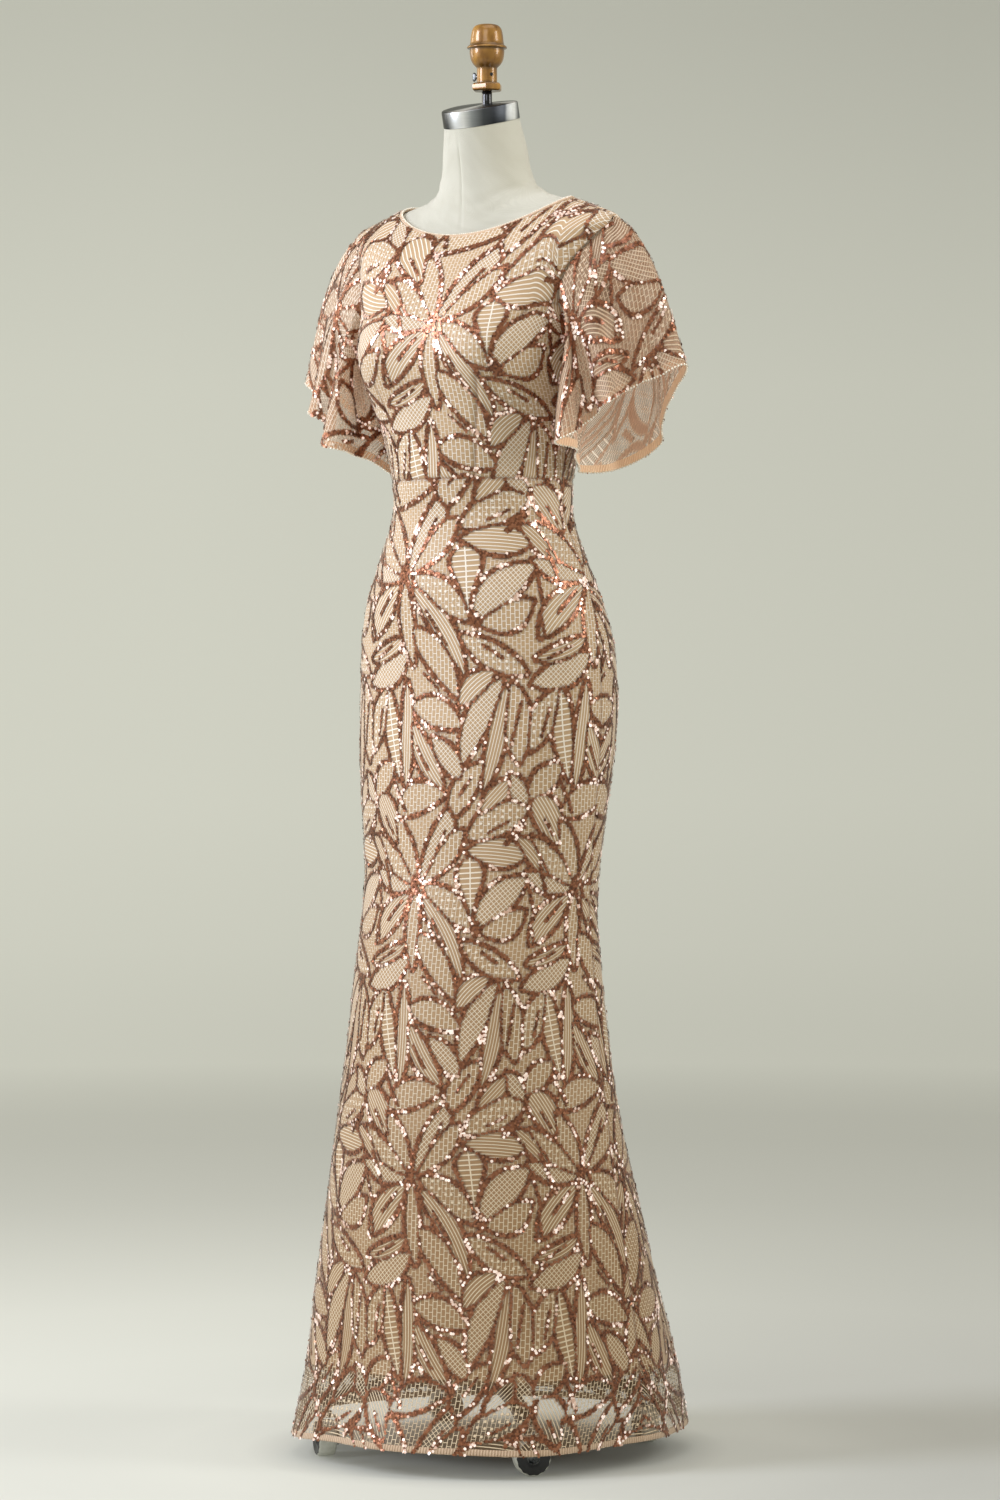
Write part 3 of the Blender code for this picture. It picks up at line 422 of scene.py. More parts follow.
def bodicePattern(u, v):
    # one flower's middle lies over the bust, 19 cm above the waist seam; over the yoke the leaves
    # are drawn larger: x shrinks to 0.78 of itself and y above 3 cm to 0.70
    x, y = (u - 0.0143) * 100, (v - 0.193) * 100
    above = np.maximum(y - 3.0, 0.0)
    return x * (1 - 0.22 * np.clip(above / 7.0, 0, 1)), y - 0.30 * above


def sleevePattern(u, v):
    # the repeat at its own size, its middle 5 cm below the armhole
    return (u - 0.015) * 100, (v + 0.052) * 100


# cloth: a grid of points with its own flat measures u and v

# the last value is how far the darkening along seams and darts reaches: the sewing, and a painted shadow line
seamDip = {"depth": 0.0014, "reach": 0.0030, "sewingAndShadeReach": 0.0016}  # how the cloth rolls in along a seam
yoke = {"over": 0.07, "wider": 1.05}  # the height over which the darts' fullness goes, and what is left
darts = [  # on the front bodice: distance from the middle and height above the waist seam, at both sides
    [(0.058, 0.000), (0.064, 0.060), (0.078, 0.128)],
    [(0.094, 0.150), (0.133, 0.205), (0.188, 0.238)],
]
zipper = {"halfGap": 0.0014, "partsWithin": 0.014, "opensOver": 0.03, "tapeHalf": 0.0055, "tapeOut": 0.0024,
          "tapeColumns": 5, "coilOut": 0.0030, "pitch": 0.0016, "coilHalf": 0.0011, "coilThick": 0.0006,
          "aside": 0.0002, "step": 0.004}


def clothFrom(points, normals, u, v, pattern, near, dip=1.0):
    # the grid, dipped by a bell curve along its seams, with each point's place in its leaf
    depth, fill, along, across = leafField(*pattern(u, v))
    rolled = dip * seamDip["depth"] * bell(near, seamDip["reach"])
    return {"points": points - normals * rolled[..., None], "normals": normals, "u": u, "v": v,
            "pattern": pattern, "depth": depth, "fill": fill, "along": along / 100, "across": across / 100,
            "crease": bell(near, seamDip["sewingAndShadeReach"])}


def fromDarts(u, v):
    # the shortest distance to the darts' lines
    near = np.full(u.shape, 1.0)
    for line in darts:
        for (u0, v0), (u1, v1) in zip(line[:-1], line[1:]):
            t = ((np.abs(u) - u0) * (u1 - u0) + (v - v0) * (v1 - v0)) / ((u1 - u0) ** 2 + (v1 - v0) ** 2)
            t = np.clip(t, 0, 1)
            near = np.minimum(near, np.hypot(np.abs(u) - u0 - t * (u1 - u0), v - v0 - t * (v1 - v0)))
    return near


def flatYoke(points, u, v, level):
    # over the chest and shoulders the cloth is measured as it lies flat on the table: u passes from
    # that of the row below at the same x to x itself, as the darts take up the rest, and v grows by
    # the straight way up and back from that row
    row = int(np.searchsorted(level[:, 0], levels["yoke"]))
    order = np.argsort(points[row, :, 0])
    xs, ys, zs = points[row, order].T
    x = points[row:, :, 0]
    inside = np.clip(x, xs[0], xs[-1])
    rise = np.hypot(points[row:, :, 1] - np.interp(inside, xs, ys),
                    points[row:, :, 2] - np.interp(inside, xs, zs))
    share = np.clip(rise / yoke["over"], 0, 1)
    share = share**2 * (3 - 2 * share)
    flat = x * yoke["wider"] * share + (np.interp(inside, xs, u[row, order]) + (x - inside)) * (1 - share)
    straight = np.interp(inside, xs, v[row, order]) + rise
    return np.concatenate([u[:row], flat]), np.concatenate([v[:row], straight])


def panelCloth(side, low, high, step, columns, pattern):
    # u is the length from the middle line, v the length from the waist seam on the bodice and the
    # level itself on the skirt
    level, normals, skin = panelGrid(side, low, high, step, columns)
    points = skin + layers["shell"] * normals
    if side != "front":  # the two back halves stop just short of each other over the zip
        opens = zipper["halfGap"] * np.clip((level - levels["zipBottom"]) / zipper["opensOver"], 0, 1)
        points[..., 0] += bell(points[..., 0], zipper["partsWithin"]) * opens * (1 if side == "left" else -1)
    u, v = lengthAlong(points, 1), lengthAlong(points)
    middle = {"front": u[:, columns - 1:columns], "left": u[:, :1], "right": u[:, -1:]}[side]
    u = (u - middle) * (-1 if side == "front" else 1)
    near = np.minimum(np.abs(u - u[:, :1]), np.abs(u - u[:, -1:]))
    if low < levels["waist"]:
        near, v = np.minimum(near, v[-1:] - v), level
    else:
        near = np.minimum(near, v)
        u, v = flatYoke(points, u, v, level)
        if side == "front":
            near = np.minimum(near, fromDarts(u, v))
    return clothFrom(points, normals, u, v, pattern, near)


def readGrid(values, row, column):
    # straight-line reading between the grid's four nearest points
    r0 = np.clip(np.floor(row).astype(int), 0, values.shape[0] - 2)
    c0 = np.clip(np.floor(column).astype(int), 0, values.shape[1] - 2)
    r, c = row - r0, column - c0
    if values.ndim == 3:
        r, c = r[:, None], c[:, None]
    return ((values[r0, c0] * (1 - c) + values[r0, c0 + 1] * c) * (1 - r)
            + (values[r0 + 1, c0] * (1 - c) + values[r0 + 1, c0 + 1] * c) * r)


# the sequins; the values for painted glints make some of them larger, a little higher and pale, as painted
# highlights
sequin = {
    "pitch": 0.00268, "rowPitch": 0.866, "jitter": 0.00022, "steps": 14, "miss": 0.0006,  # their places
    "across": 0.0034, "sides": 6, "sizes": (0.93, 1.05), "paintedGlintSize": 1.15,
    "lift": 0.0007, "liftMore": 0.0005, "paintedGlintLift": 0.0003,
    "tilt": 0.07, "loose": 0.10, "looseTilt": 0.30, "overlap": 0.10,
    "patch": 0.026, "waves": 9, "paintedGlints": 0.25, "paintedGlintTints": (0.80, 1.0), "plainTints": (0.0, 0.70)}


def placesOn(cloth):
    # a staggered net of places, one pitch apart in u and 0.866 of it in v, found on the grid by
    # Newton's steps from a first guess
    u, v = cloth["u"], cloth["v"]
    rows, columns = u.shape
    across = np.arange(u.min(), u.max(), sequin["pitch"])
    up = np.arange(v.min(), v.max(), sequin["pitch"] * sequin["rowPitch"])
    want = np.array(np.meshgrid(across, up))
    want[0] += sequin["pitch"] / 2 * (np.arange(len(up)) % 2)[:, None]
    wantU, wantV = (want + rng.normal(0, sequin["jitter"], want.shape)).reshape(2, -1)
    depth = leafField(*cloth["pattern"](wantU, wantV))[0]
    keep = (depth < 0) & (depth > -leafPattern["band"])
    wantU, wantV = wantU[keep], wantV[keep]
    upwards = 1 if v[-1].mean() > v[0].mean() else -1
    row = np.interp(wantV, np.sort(v.mean(axis=1)), np.arange(rows)[::upwards])
    edgeA, edgeB = (np.interp(row, np.arange(rows), u[:, k]) for k in (0, -1))
    column = np.clip((wantU - edgeA) / (edgeB - edgeA), 0, 1) * (columns - 1)
    for _ in range(sequin["steps"]):
        du, dv = wantU - readGrid(u, row, column), wantV - readGrid(v, row, column)
        above, below = np.minimum(row + 0.5, rows - 1), np.maximum(row - 0.5, 0)
        right, left = np.minimum(column + 0.5, columns - 1), np.maximum(column - 0.5, 0)
        uR, vR = (readGrid(values, above, column) - readGrid(values, below, column) for values in (u, v))
        uC, vC = (readGrid(values, row, right) - readGrid(values, row, left) for values in (u, v))
        det = uC * vR - uR * vC
        det = np.where(np.abs(det) < 1e-12, 1e-12, det)
        row = np.clip(row + np.clip((uC * dv - vC * du) / det, -9, 9), 0, rows - 1)
        column = np.clip(column + np.clip((vR * du - uR * dv) / det, -9, 9), 0, columns - 1)
    found = np.hypot(wantU - readGrid(u, row, column), wantV - readGrid(v, row, column)) < sequin["miss"]
    return row[found], column[found]


def paintedGlintShare(u, v):
    # the share of sequins made painted glints: a sum of slow waves of random direction, between
    # limits, so that whole stretches of a band get painted glints and others stay brown
    turn, phase = rng.uniform(0, 2 * math.pi, (2, sequin["waves"]))
    wave = 2 * math.pi / (sequin["patch"] * rng.uniform(0.6, 2.4, sequin["waves"]))
    total = np.sin(wave * (np.cos(turn) * u[:, None] + np.sin(turn) * v[:, None]) + phase).sum(1) / 3.0
    return sequin["paintedGlints"] * np.clip(-0.10 + 2.1 * total, 0.05, 2.9)


def sequinsOn(name, cloth):
    # each sequin is a flat six-sided disc, its rim turned round a normal that is tipped at random
    # and leant a little so that each row overlaps the row below it
    row, column = placesOn(cloth)
    centre, normal, u, v = (readGrid(cloth[key], row, column) for key in ("points", "normals", "u", "v"))
    count, normal = len(centre), unit(normal)
    side = unit(np.cross([0.0, 0.0, 1.0], normal) + 1e-9)
    rise = np.cross(normal, side)
    loose = rng.uniform(0, 1, (1, count, 1)) < sequin["loose"]
    lean = rng.normal(0, 1, (2, count, 1)) * np.where(loose, sequin["looseTilt"], sequin["tilt"])
    facing = unit(normal + lean[0] * side + (lean[1] - sequin["overlap"]) * rise)
    side = unit(np.cross(rise, facing))
    rise = np.cross(facing, side)
    turn = fullTurn(sequin["sides"]) + rng.uniform(0, 1, (count, 1))
    radius = sequin["across"] / 2 * rng.uniform(*sequin["sizes"], (count, 1))
    # painted glints: a share of the sequins, picked at random, made larger and higher and given a pale tint
    # that the material paints near white and glowing
    isPaintedGlint = rng.uniform(0, 1, (count, 1)) < paintedGlintShare(u, v)[:, None]
    radius = radius * np.where(isPaintedGlint, sequin["paintedGlintSize"], 1.0)
    lift = sequin["lift"] + rng.uniform(0, sequin["liftMore"], (count, 1)) + sequin["paintedGlintLift"] * isPaintedGlint
    rim = (centre + lift * normal)[:, None] + radius[..., None] * (
        np.cos(turn)[..., None] * side[:, None] + np.sin(turn)[..., None] * rise[:, None])
    faces = np.arange(count * sequin["sides"]).reshape(count, sequin["sides"])
    flip = (np.cross(rim[:, 1] - rim[:, 0], rim[:, 2] - rim[:, 0]) * facing).sum(-1) < 0
    faces[flip] = faces[flip, ::-1]
    bright, plain = (rng.uniform(*sequin[key], count) for key in ("paintedGlintTints", "plainTints"))
    print("stage:", name, count, "sequins")
    return putMesh(name, rim, faces, [copperSequin], "sequinned_mesh", smooth=False,
                   attributes={"tint": np.repeat(np.where(isPaintedGlint[:, 0], bright, plain), sequin["sides"])})


def putCloth(name, cloth, materials, node=None, flip=False, finish=None):
    # the cloth's grid as a mesh; its attributes say which fill is where, how near the band of
    # sequins and the seams are, for the backing and the painted seam shadow, and how far down the
    # skirt it is, for the painted shade towards the hem
    depth, halfBand = cloth["depth"], leafPattern["band"] / 2
    inLeaf = depth > -leafPattern["band"]
    attributes = {fill + "Fill": (inLeaf & (cloth["fill"] == k)).astype(float)
                  for k, fill in enumerate(fillNames)}
    attributes |= {
        "paintedShadeLowDown": wayThrough(cloth["points"][..., 2], 1.0, 0.25), "crease": cloth["crease"],
        "inLeaf": inLeaf.astype(float),
        "band": np.clip((halfBand + 0.07 - np.abs(depth + halfBand)) / 0.10, 0, 1),
        "leafPlace": spread(cloth["along"], cloth["across"], 0.0)}
    return putMesh(name, cloth["points"], gridFaces(*depth.shape, flip=flip), materials, "sequinned_mesh",
                   node, uv=spread(cloth["u"], cloth["v"]), finish=finish, attributes=attributes)


# finishes of the gown

netCells = {  # width of a cell, height of a row, thread, stagger; metres
    "comb": (0.0086, 0.0054, 0.00120, 0.5), "lattice": (0.0044, 0.0044, 0.00110, 0.0),
    "dots": (0.0096, 0.0050, 0.00085, 0.5), "ribs": (2.0, 0.0040, 0.00150, 0.0),
    "bars": (2.0, 0.0062, 0.0022, 0.0), "plain": (2.0, 0.0037, 0.00115, 0.0),
    "ground": (0.0074, 0.0050, 0.00115, 0.5),
}


# low: the yarn's and the gaps' colours with painted shade, for low down on the skirt
def netMaterial(name, thread, gaps, backing, seeThrough=1.0, backingShare=0.85, low=("#D2BA93", "#8B6841"),
                through=0.0):
    # knitted net of fine polyester yarn: pale raised threads, matt, over the lining's warm nude
    # or over nothing. The cells are a fifth larger than the real ones, and each thread is drawn
    # 1 mm thick where the real yarn is 0.3 mm, so that they show; so are the yarn's own loops,
    # 1.1 mm apart. The colour drifts over patches of 7 cm. On the outer nets the gaps' colours carry
    # painted shade: that of the threads over the lining, or of the dark inside where the net is open.
    made, tree, shader = newMaterial(name, {"Roughness": 0.60, "Sheen Weight": 0.45, "Sheen Roughness": 0.35,
                                            "Sheen Tint": "#FFF0E4"})
    cloth = addNode(tree, "UVMap", uv_map="cloth")
    leaf = addNode(tree, "Attribute", output="Vector", attribute_name="leafPlace")
    share = {key: addNode(tree, "Attribute", output="Fac", attribute_name=key) for key in (
        "inLeaf", "paintedShadeLowDown", "band", "crease", *(fill + "Fill" for fill in fillNames))}
    upright, slanted, crossed = (
        addNode(tree, "Mapping", {"Vector": place, "Rotation": (0, 0, math.pi / part)})
        for place, part in ((cloth, 2), (cloth, 4), (leaf, 2)))
    places = {"lattice": slanted, "ribs": leaf, "bars": crossed, "plain": leaf}
    share["groundFill"] = addNode(tree, "Math", (1.0, share["inLeaf"]), operation="SUBTRACT")
    spots = addNode(tree, "TexVoronoi", {"Vector": cloth, "Scale": 1 / 0.0085, "Randomness": 0.25},
                    "Distance", voronoi_dimensions="2D")
    spots = addNode(tree, "MapRange", {"Value": spots, "From Min": 0.26, "From Max": 0.15})
    total = addNode(tree, "Math", (spots, share["dotsFill"]), operation="MULTIPLY")
    for fill, (wide, tall, yarn, stagger) in netCells.items():
        cells = addNode(tree, "TexBrick", {
            "Vector": places.get(fill, upright), "Scale": 1.0, "Mortar Size": yarn / 2, "Mortar Smooth": 0.35,
            "Brick Width": wide, "Row Height": tall}, "Fac", offset=stagger, offset_frequency=2, squash=1.0)
        if fill == "ground":
            cells = addNode(tree, "Math", (cells, 0.72), operation="MULTIPLY")
        cells = addNode(tree, "Math", (cells, share[fill + "Fill"]), operation="MULTIPLY")
        total = addNode(tree, "Math", (total, cells), operation="MAXIMUM")

    # base colour: gaps and yarn, with painted shade that makes them darker and warmer towards the
    # hem, then the sequins' backing, with a little painted shade round each band, and the sewing,
    # with a painted shadow line along the seams and darts
    drift = addNode(tree, "TexNoise", {"Vector": cloth, "Scale": 1 / 0.07143, "Detail": 3.0}, "Fac")
    lowShade, backingAndShade, sewingAndShade = (addNode(tree, "Math", (share[key], part), operation="MULTIPLY")
                          for key, part in (("paintedShadeLowDown", 0.75), ("band", backingShare), ("crease", 0.65)))
    gap = addNode(tree, "Mix", {0: drift, 6: gaps[0], 7: gaps[1]}, 2, data_type="RGBA")
    gap = addNode(tree, "Mix", {0: lowShade, 6: gap, 7: low[1]}, 2, data_type="RGBA")
    yarn = addNode(tree, "Mix", {0: lowShade, 6: thread, 7: low[0]}, 2, data_type="RGBA")
    colour = addNode(tree, "Mix", {0: total, 6: gap, 7: yarn}, 2, data_type="RGBA")
    # the sequins' backing: the copper of the sequins below, with painted shade between them and at its soft
    # edge round each band
    colour = addNode(tree, "Mix", {0: backingAndShade, 6: colour, 7: backing}, 2, data_type="RGBA")
    # seams and darts painted darker: partly the sewing, partly a painted shadow line in the crease
    colour = addNode(tree, "Mix", {0: sewingAndShade, 6: colour, 7: "#7A5A44"}, 2, data_type="RGBA")
    knit = addNode(tree, "TexNoise", {"Vector": cloth, "Scale": 1 / 0.001111, "Detail": 1.0}, "Fac")
    height = addNode(tree, "Math", (knit, 0.25, total), operation="MULTIPLY_ADD")
    bump = addNode(tree, "Bump", {"Height": height, "Strength": 0.9, "Distance": 0.0007})
    feed(shader, {"Base Color": colour, "Normal": bump})
    if through:  # light that comes through the threads
        lit = addNode(tree, "Math", (total, through, through * 0.45), operation="MULTIPLY_ADD")
        feed(shader, {"Emission Color": "#F2C9A6", "Emission Strength": lit})
    if seeThrough < 1:
        solid = addNode(tree, "Math", (total, backingAndShade), operation="MAXIMUM")
        feed(shader, {"Alpha": addNode(tree, "MapRange", {
            "Value": solid, "From Min": 0.05, "From Max": 0.5, "To Min": seeThrough})})
    return made


def sequinMaterial():
    # metallised copper plastic discs: each its own shade of brown copper; the painted glints, picked at
    # random whatever way they face, have a tint that runs from a pale pink on to a near white, painted
    # as a highlight that gives a little light of its own
    made, tree, shader = newMaterial("metallisedCopperSequin", {
        "Metallic": 0.72, "Roughness": 0.36, "Coat Weight": 0.35, "Coat Roughness": 0.20,
        "Emission Color": "#FFE9DF"})
    tint = addNode(tree, "Attribute", output="Fac", attribute_name="tint")
    shades = ((0.0, "#633A26"), (0.40, "#915A3D"), (0.72, "#AC7353"), (0.80, "#EFC4AE"), (1.0, "#FFF1EA"))
    feed(shader, {
        "Base Color": addNode(tree, "ValToRGB", {"Fac": tint}, stops=shades),
        "Emission Strength": addNode(tree, "MapRange", {"Value": tint, "From Min": 0.84, "To Max": 0.55})})
    return made


def knitMaterial(name, colour, shade, rib, depth, roughness=0.7, through=0.0):
    # fine tricot knit: ribs along the cloth's length, matt with a soft sheen. The real ribs are
    # 0.5 mm apart; they are drawn rib metres apart so that they show. A wave of scale 1 repeats
    # every pi/10 metres. through is the strength of a painted glow that stands in for light coming
    # through the knit.
    made, tree, shader = newMaterial(name, {"Roughness": roughness, "Sheen Weight": 0.3,
                                            "Emission Color": "#F2C296", "Emission Strength": through})
    cloth = addNode(tree, "UVMap", uv_map="cloth")
    ribs = addNode(tree, "TexWave", {"Vector": cloth, "Scale": 1 / rib * math.pi / 10, "Distortion": 0.6,
                                     "Detail": 1.0}, "Fac", bands_direction="X")
    mottle = addNode(tree, "TexNoise", {"Vector": cloth, "Scale": 1 / 0.01667, "Detail": 3.0}, "Fac")
    share = addNode(tree, "Math", (mottle, 0.4), operation="MULTIPLY")
    share = addNode(tree, "Math", (ribs, 0.6, share), operation="MULTIPLY_ADD")
    feed(shader, {"Base Color": addNode(tree, "Mix", {0: share, 6: shade, 7: colour}, 2, data_type="RGBA"),
                  "Normal": addNode(tree, "Bump", {"Height": ribs, "Distance": depth})})
    return made


def canvasMaterial():
    # plain-woven cotton canvas, off-white, matt: 0.6 mm threads drawn 1.3 mm apart so that they show
    made, tree, shader = newMaterial("ivoryCotton", {"Roughness": 0.86, "Sheen Weight": 0.2})
    cloth = addNode(tree, "UVMap", uv_map="cloth")
    warp, weft = (addNode(tree, "TexWave", {"Vector": cloth, "Scale": 1 / 0.0013 * math.pi / 10,
                                            "Distortion": 0.5, "Detail": 1.0}, "Fac", bands_direction=way)
                  for way in "XY")
    weave = addNode(tree, "Math", (warp, weft), operation="MULTIPLY")
    mottle = addNode(tree, "TexNoise", {"Vector": cloth, "Scale": 1 / 0.03125, "Detail": 5.0}, "Fac")
    share = addNode(tree, "Math", (mottle, 0.55), operation="MULTIPLY")
    share = addNode(tree, "Math", (weave, 0.45, share), operation="MULTIPLY_ADD")
    height = addNode(tree, "Math", (mottle, 0.5, weave), operation="MULTIPLY_ADD")
    feed(shader, {
        "Base Color": addNode(tree, "Mix", {0: share, 6: "#BCB9A9", 7: "#DAD8CD"}, 2, data_type="RGBA"),
        "Normal": addNode(tree, "Bump", {"Height": height, "Strength": 0.8, "Distance": 0.0003})})
    return made


def metalMaterial(name, dark, light, roughness, grainWide, stretch=(1, 1, 1), depth=0.00004, metallic=1.0,
                  coat=0.0, shades=()):
    # a metal, paint or plastic whose brushing, casting grain or ageing is a noise: patches
    # grainWide millimetres apart, with detail down to a sixteenth of that, stretched along one
    # way. The light and dark colours drift over it, and shades, given as (height, share of the
    # colour kept), paint shade at those heights, into its grooves and at its ends.
    made, tree, shader = newMaterial(name, {"Metallic": metallic, "Coat Weight": coat})
    place = addNode(tree, "TexCoord", output="Object")
    stretched = addNode(tree, "Mapping", {"Vector": place, "Scale": stretch})
    grain = addNode(tree, "TexNoise", {"Vector": stretched, "Scale": 1000 / grainWide, "Detail": 4.0}, "Fac")
    drift = addNode(tree, "MapRange", {"Value": grain, "From Min": 0.35, "From Max": 0.65})
    worn = addNode(tree, "MapRange", {"Value": grain, "From Min": 0.3, "From Max": 0.7,
                                      "To Min": roughness * 0.8, "To Max": roughness * 1.25})
    colour = addNode(tree, "Mix", {0: drift, 6: dark, 7: light}, 2, data_type="RGBA")
    if shades:
        low, high = shades[0][0], shades[-1][0]
        height = addNode(tree, "SeparateXYZ", {"Vector": place}, "Z")
        share = addNode(tree, "MapRange", {"Value": height, "From Min": low, "From Max": high})
        kept = addNode(tree, "ValToRGB", {"Fac": share}, stops=[
            ((z - low) / (high - low), (part, part * 0.94, part * 0.86, 1)) for z, part in shades])
        colour = addNode(tree, "Mix", {0: 1.0, 6: colour, 7: kept}, 2, data_type="RGBA",
                         blend_type="MULTIPLY")
    feed(shader, {"Base Color": colour, "Roughness": worn,
                  "Normal": addNode(tree, "Bump", {"Height": grain, "Distance": depth})})
    return made


def capMaterial():
    # spun steel ring, brushed, with painted reflections: soft bright and dark stripes, set by the
    # angle round the ring, stand across the brushing all round it. The real brushing is under 0.1 mm
    # wide; it is drawn 1.1 mm wide so that it shows.
    made, tree, shader = newMaterial("brushedSpunSteel", {"Metallic": 1.0, "Roughness": 0.35})
    place = addNode(tree, "TexCoord", output="Object")
    circled = addNode(tree, "TexGradient", {"Vector": place}, "Fac", gradient_type="RADIAL")
    shades = (
        (0.0, "#53565A"), (0.10, "#101113"), (0.19, "#17181A"), (0.215, "#4E5256"), (0.245, "#F0F2F4"),
        (0.275, "#FFFFFF"), (0.30, "#AEB2B7"), (0.335, "#5C5F64"), (0.37, "#303236"), (0.42, "#3A3D41"),
        (0.452, "#D8DADA"), (0.475, "#FFFFFF"), (0.50, "#8A8C8E"), (0.535, "#1E1F21"), (0.60, "#303234"),
        (0.70, "#A2A5A8"), (0.80, "#E0E2E2"), (0.90, "#6E7174"), (1.0, "#53565A"))
    paintedReflections = addNode(tree, "ValToRGB", {"Fac": circled}, stops=shades)
    stretched = addNode(tree, "Mapping", {"Vector": place, "Scale": (0.05, 0.05, 1)})
    grain = addNode(tree, "TexNoise", {"Vector": stretched, "Scale": 1 / 0.001111, "Detail": 2.0}, "Fac")
    streaks = addNode(tree, "MapRange", {"Value": grain, "To Min": 0.78})
    feed(shader, {
        "Base Color": addNode(tree, "Mix", {0: 1.0, 6: paintedReflections, 7: streaks}, 2, data_type="RGBA",
                              blend_type="MULTIPLY"),
        "Normal": addNode(tree, "Bump", {"Height": grain, "Distance": 0.00004})})
    return made


# the gaps are the lining's nude with painted shade from the threads over it
linedNet = netMaterial("knittedNetOverLining", "#F2E7D9", ("#AE8E69", "#C6A783"), "#704330")
# the gaps are partly covered in a painted shade of the dark inside
openNet = netMaterial("openKnittedNet", "#EDE1D2", ("#947656", "#A88A6B"), "#764632", 0.30)
sleeveNets = {  # the same net in two painted copies: the wearer's right sleeve painted paler where the key light falls on it, the left one painted darker in its shade
    "sleeve_left": netMaterial("openSleeveNetPaintedShaded", "#D6BEA2", ("#8D6242", "#A27653"), "#764430", 0.36),
    "sleeve_right": netMaterial("openSleeveNetPaintedLit", "#F0DFCB", ("#B58B68", "#CBA682"), "#8E6049", 0.30),
}
# the wrong side of the sleeves' net, painted paler than its outside and given a painted glow, standing in for
# light that comes through the sleeve
wrongSideNetPaintedLit = netMaterial("wrongSideOfNetPaintedLit", "#FFF8EE", ("#DDBE9F", "#E9CEB1"), "#C89F85", 0.40, 1.0,
                           through=0.14)
copperSequin = sequinMaterial()
nudeTricot = knitMaterial("nudeTricotLining", "#CDAF8C", "#B08D69", 0.0016, 0.0002)
foldedHem = knitMaterial("foldedNetHem", "#D6BC9F", "#9C7C60", 0.0036, 0.0006)
# the sleeve's folded hem: the hem's knit painted paler, with a painted glow for light that comes through it
sleeveFoldPaintedLit = knitMaterial("foldedSleeveHemPaintedLit", "#F3D3B2", "#D2A683", 0.0036, 0.0006, through=0.16)
nudeBinding = knitMaterial("rolledNudeBinding", "#DCC0A2", "#C09C7C", 0.0012, 0.0002, 0.5)
zipTapeWeave = knitMaterial("wovenNudeZipTape", "#C9A683", "#A98462", 0.0010, 0.0002)
# extruded nylon, satin; pressed glass, glossy; cotton canvas
nylonCoil = metalMaterial("nudeNylonCoil", "#C09A78", "#D2B090", 0.35, 3.333, metallic=0.0)
creamBead = metalMaterial("creamGlassBead", "#E9DCC6", "#FBF4E6", 0.18, 5.0, metallic=0.0, coat=0.6)
ivoryCanvas = canvasMaterial()
spunSteel = capMaterial()
# zinc-plated steel screw: grey, slightly dull
platedSteel = metalMaterial("zincPlatedSteel", "#1B1D1F", "#6C6E6E", 0.30, 5.0)
# rolled stainless steel brushed along its length: streaks a few millimetres wide
brushedSteel = metalMaterial("brushedStainlessSteel", "#4E5054", "#D4D6D5", 0.27, 11.11, (1, 1, 0.02))
# turned brass gone brown with handling: satin, darker where the lacquer has worn
agedBrass = metalMaterial("agedTurnedBrass", "#7A511D", "#B2823A", 0.44, 16.67, (1, 1, 0.5), 0.00008, 0.5,
                          0.45)
# painted shade in the finial's grooves, under and above its rim and at both ends
turnedBrass = metalMaterial(
    "brownedTurnedBrass", "#78500F", "#AC7F2C", 0.42, 16.67, (1, 1, 0.5), 0.00008, 0.28, 0.6, shades=[
        (1.675, 0.55), (1.6775, 1.0), (1.6825, 1.0), (1.6855, 0.40), (1.6885, 0.95), (1.7005, 0.95),
        (1.7045, 0.50), (1.7100, 0.95), (1.7235, 1.0), (1.7272, 0.35), (1.7290, 1.0), (1.7312, 0.42),
        (1.7360, 1.0), (1.7540, 0.95), (1.758, 0.60)])
# mild steel rod under black oxide: dark with a steel-grey gleam
blackSteel = metalMaterial("blackOxideSteel", "#111113", "#2C2D30", 0.20, 8.333, (1, 1, 0.05), metallic=0.7,
                           coat=0.7)
# grey iron casting under satin black enamel: a soft pebbled skin
castIron = metalMaterial("enamelledCastIron", "#191A1C", "#2B2C2E", 0.42, 4.545, depth=0.0002, metallic=0.0,
                         coat=0.2)
# pressed steel under bright chrome: mirror-like
chromeSteel = metalMaterial("chromePlatedSteel", "#B9BBBE", "#DCDDDF", 0.10, 25.0, depth=0.00002)
# thermoplastic rubber, moulded: light grey, matt
greyTyre = metalMaterial("greyRubberTyre", "#CFCFC4", "#E2E2D9", 0.55, 8.333, depth=0.0001, metallic=0.0)
# moulded nylon: black, satin
blackNylon = metalMaterial("blackMouldedNylon", "#0E0F12", "#1C1D21", 0.36, 6.25, depth=0.0001, metallic=0.0)
print("stage: finishes made")

# the skirt and the bodice

panels = {  # level to level, spacing of the rows, columns in a quarter of the front and in a back
    "skirt": (levels["hem"], levels["waist"], 0.0045, 84, 86, skirtPattern),
    "bodice": (levels["waist"], levels["binding"], 0.0022, 96, 90, bodicePattern),
}
shells, trims = {}, {}
for side, suffix in sides:
    for part, (low, high, step, front, back, pattern) in panels.items():
        name = f"{part}_{suffix}"
        cloth = panelCloth(side, low, high, step, front if side == "front" else back, pattern)
        finish = (cloth["v"][:-1, :-1] > levels["liningHem"] + 0.002).ravel() if part == "skirt" else None
        shells[name] = putCloth(name + "_net", cloth, [openNet, linedNet] if part == "skirt" else [linedNet],
                                name, flip=True, finish=finish)
        trims[name] = [sequinsOn(name + "_sequins", cloth)]
print("stage: skirt and bodice")

# the linings, cut as the panels are, and hanging a little further in below the knees

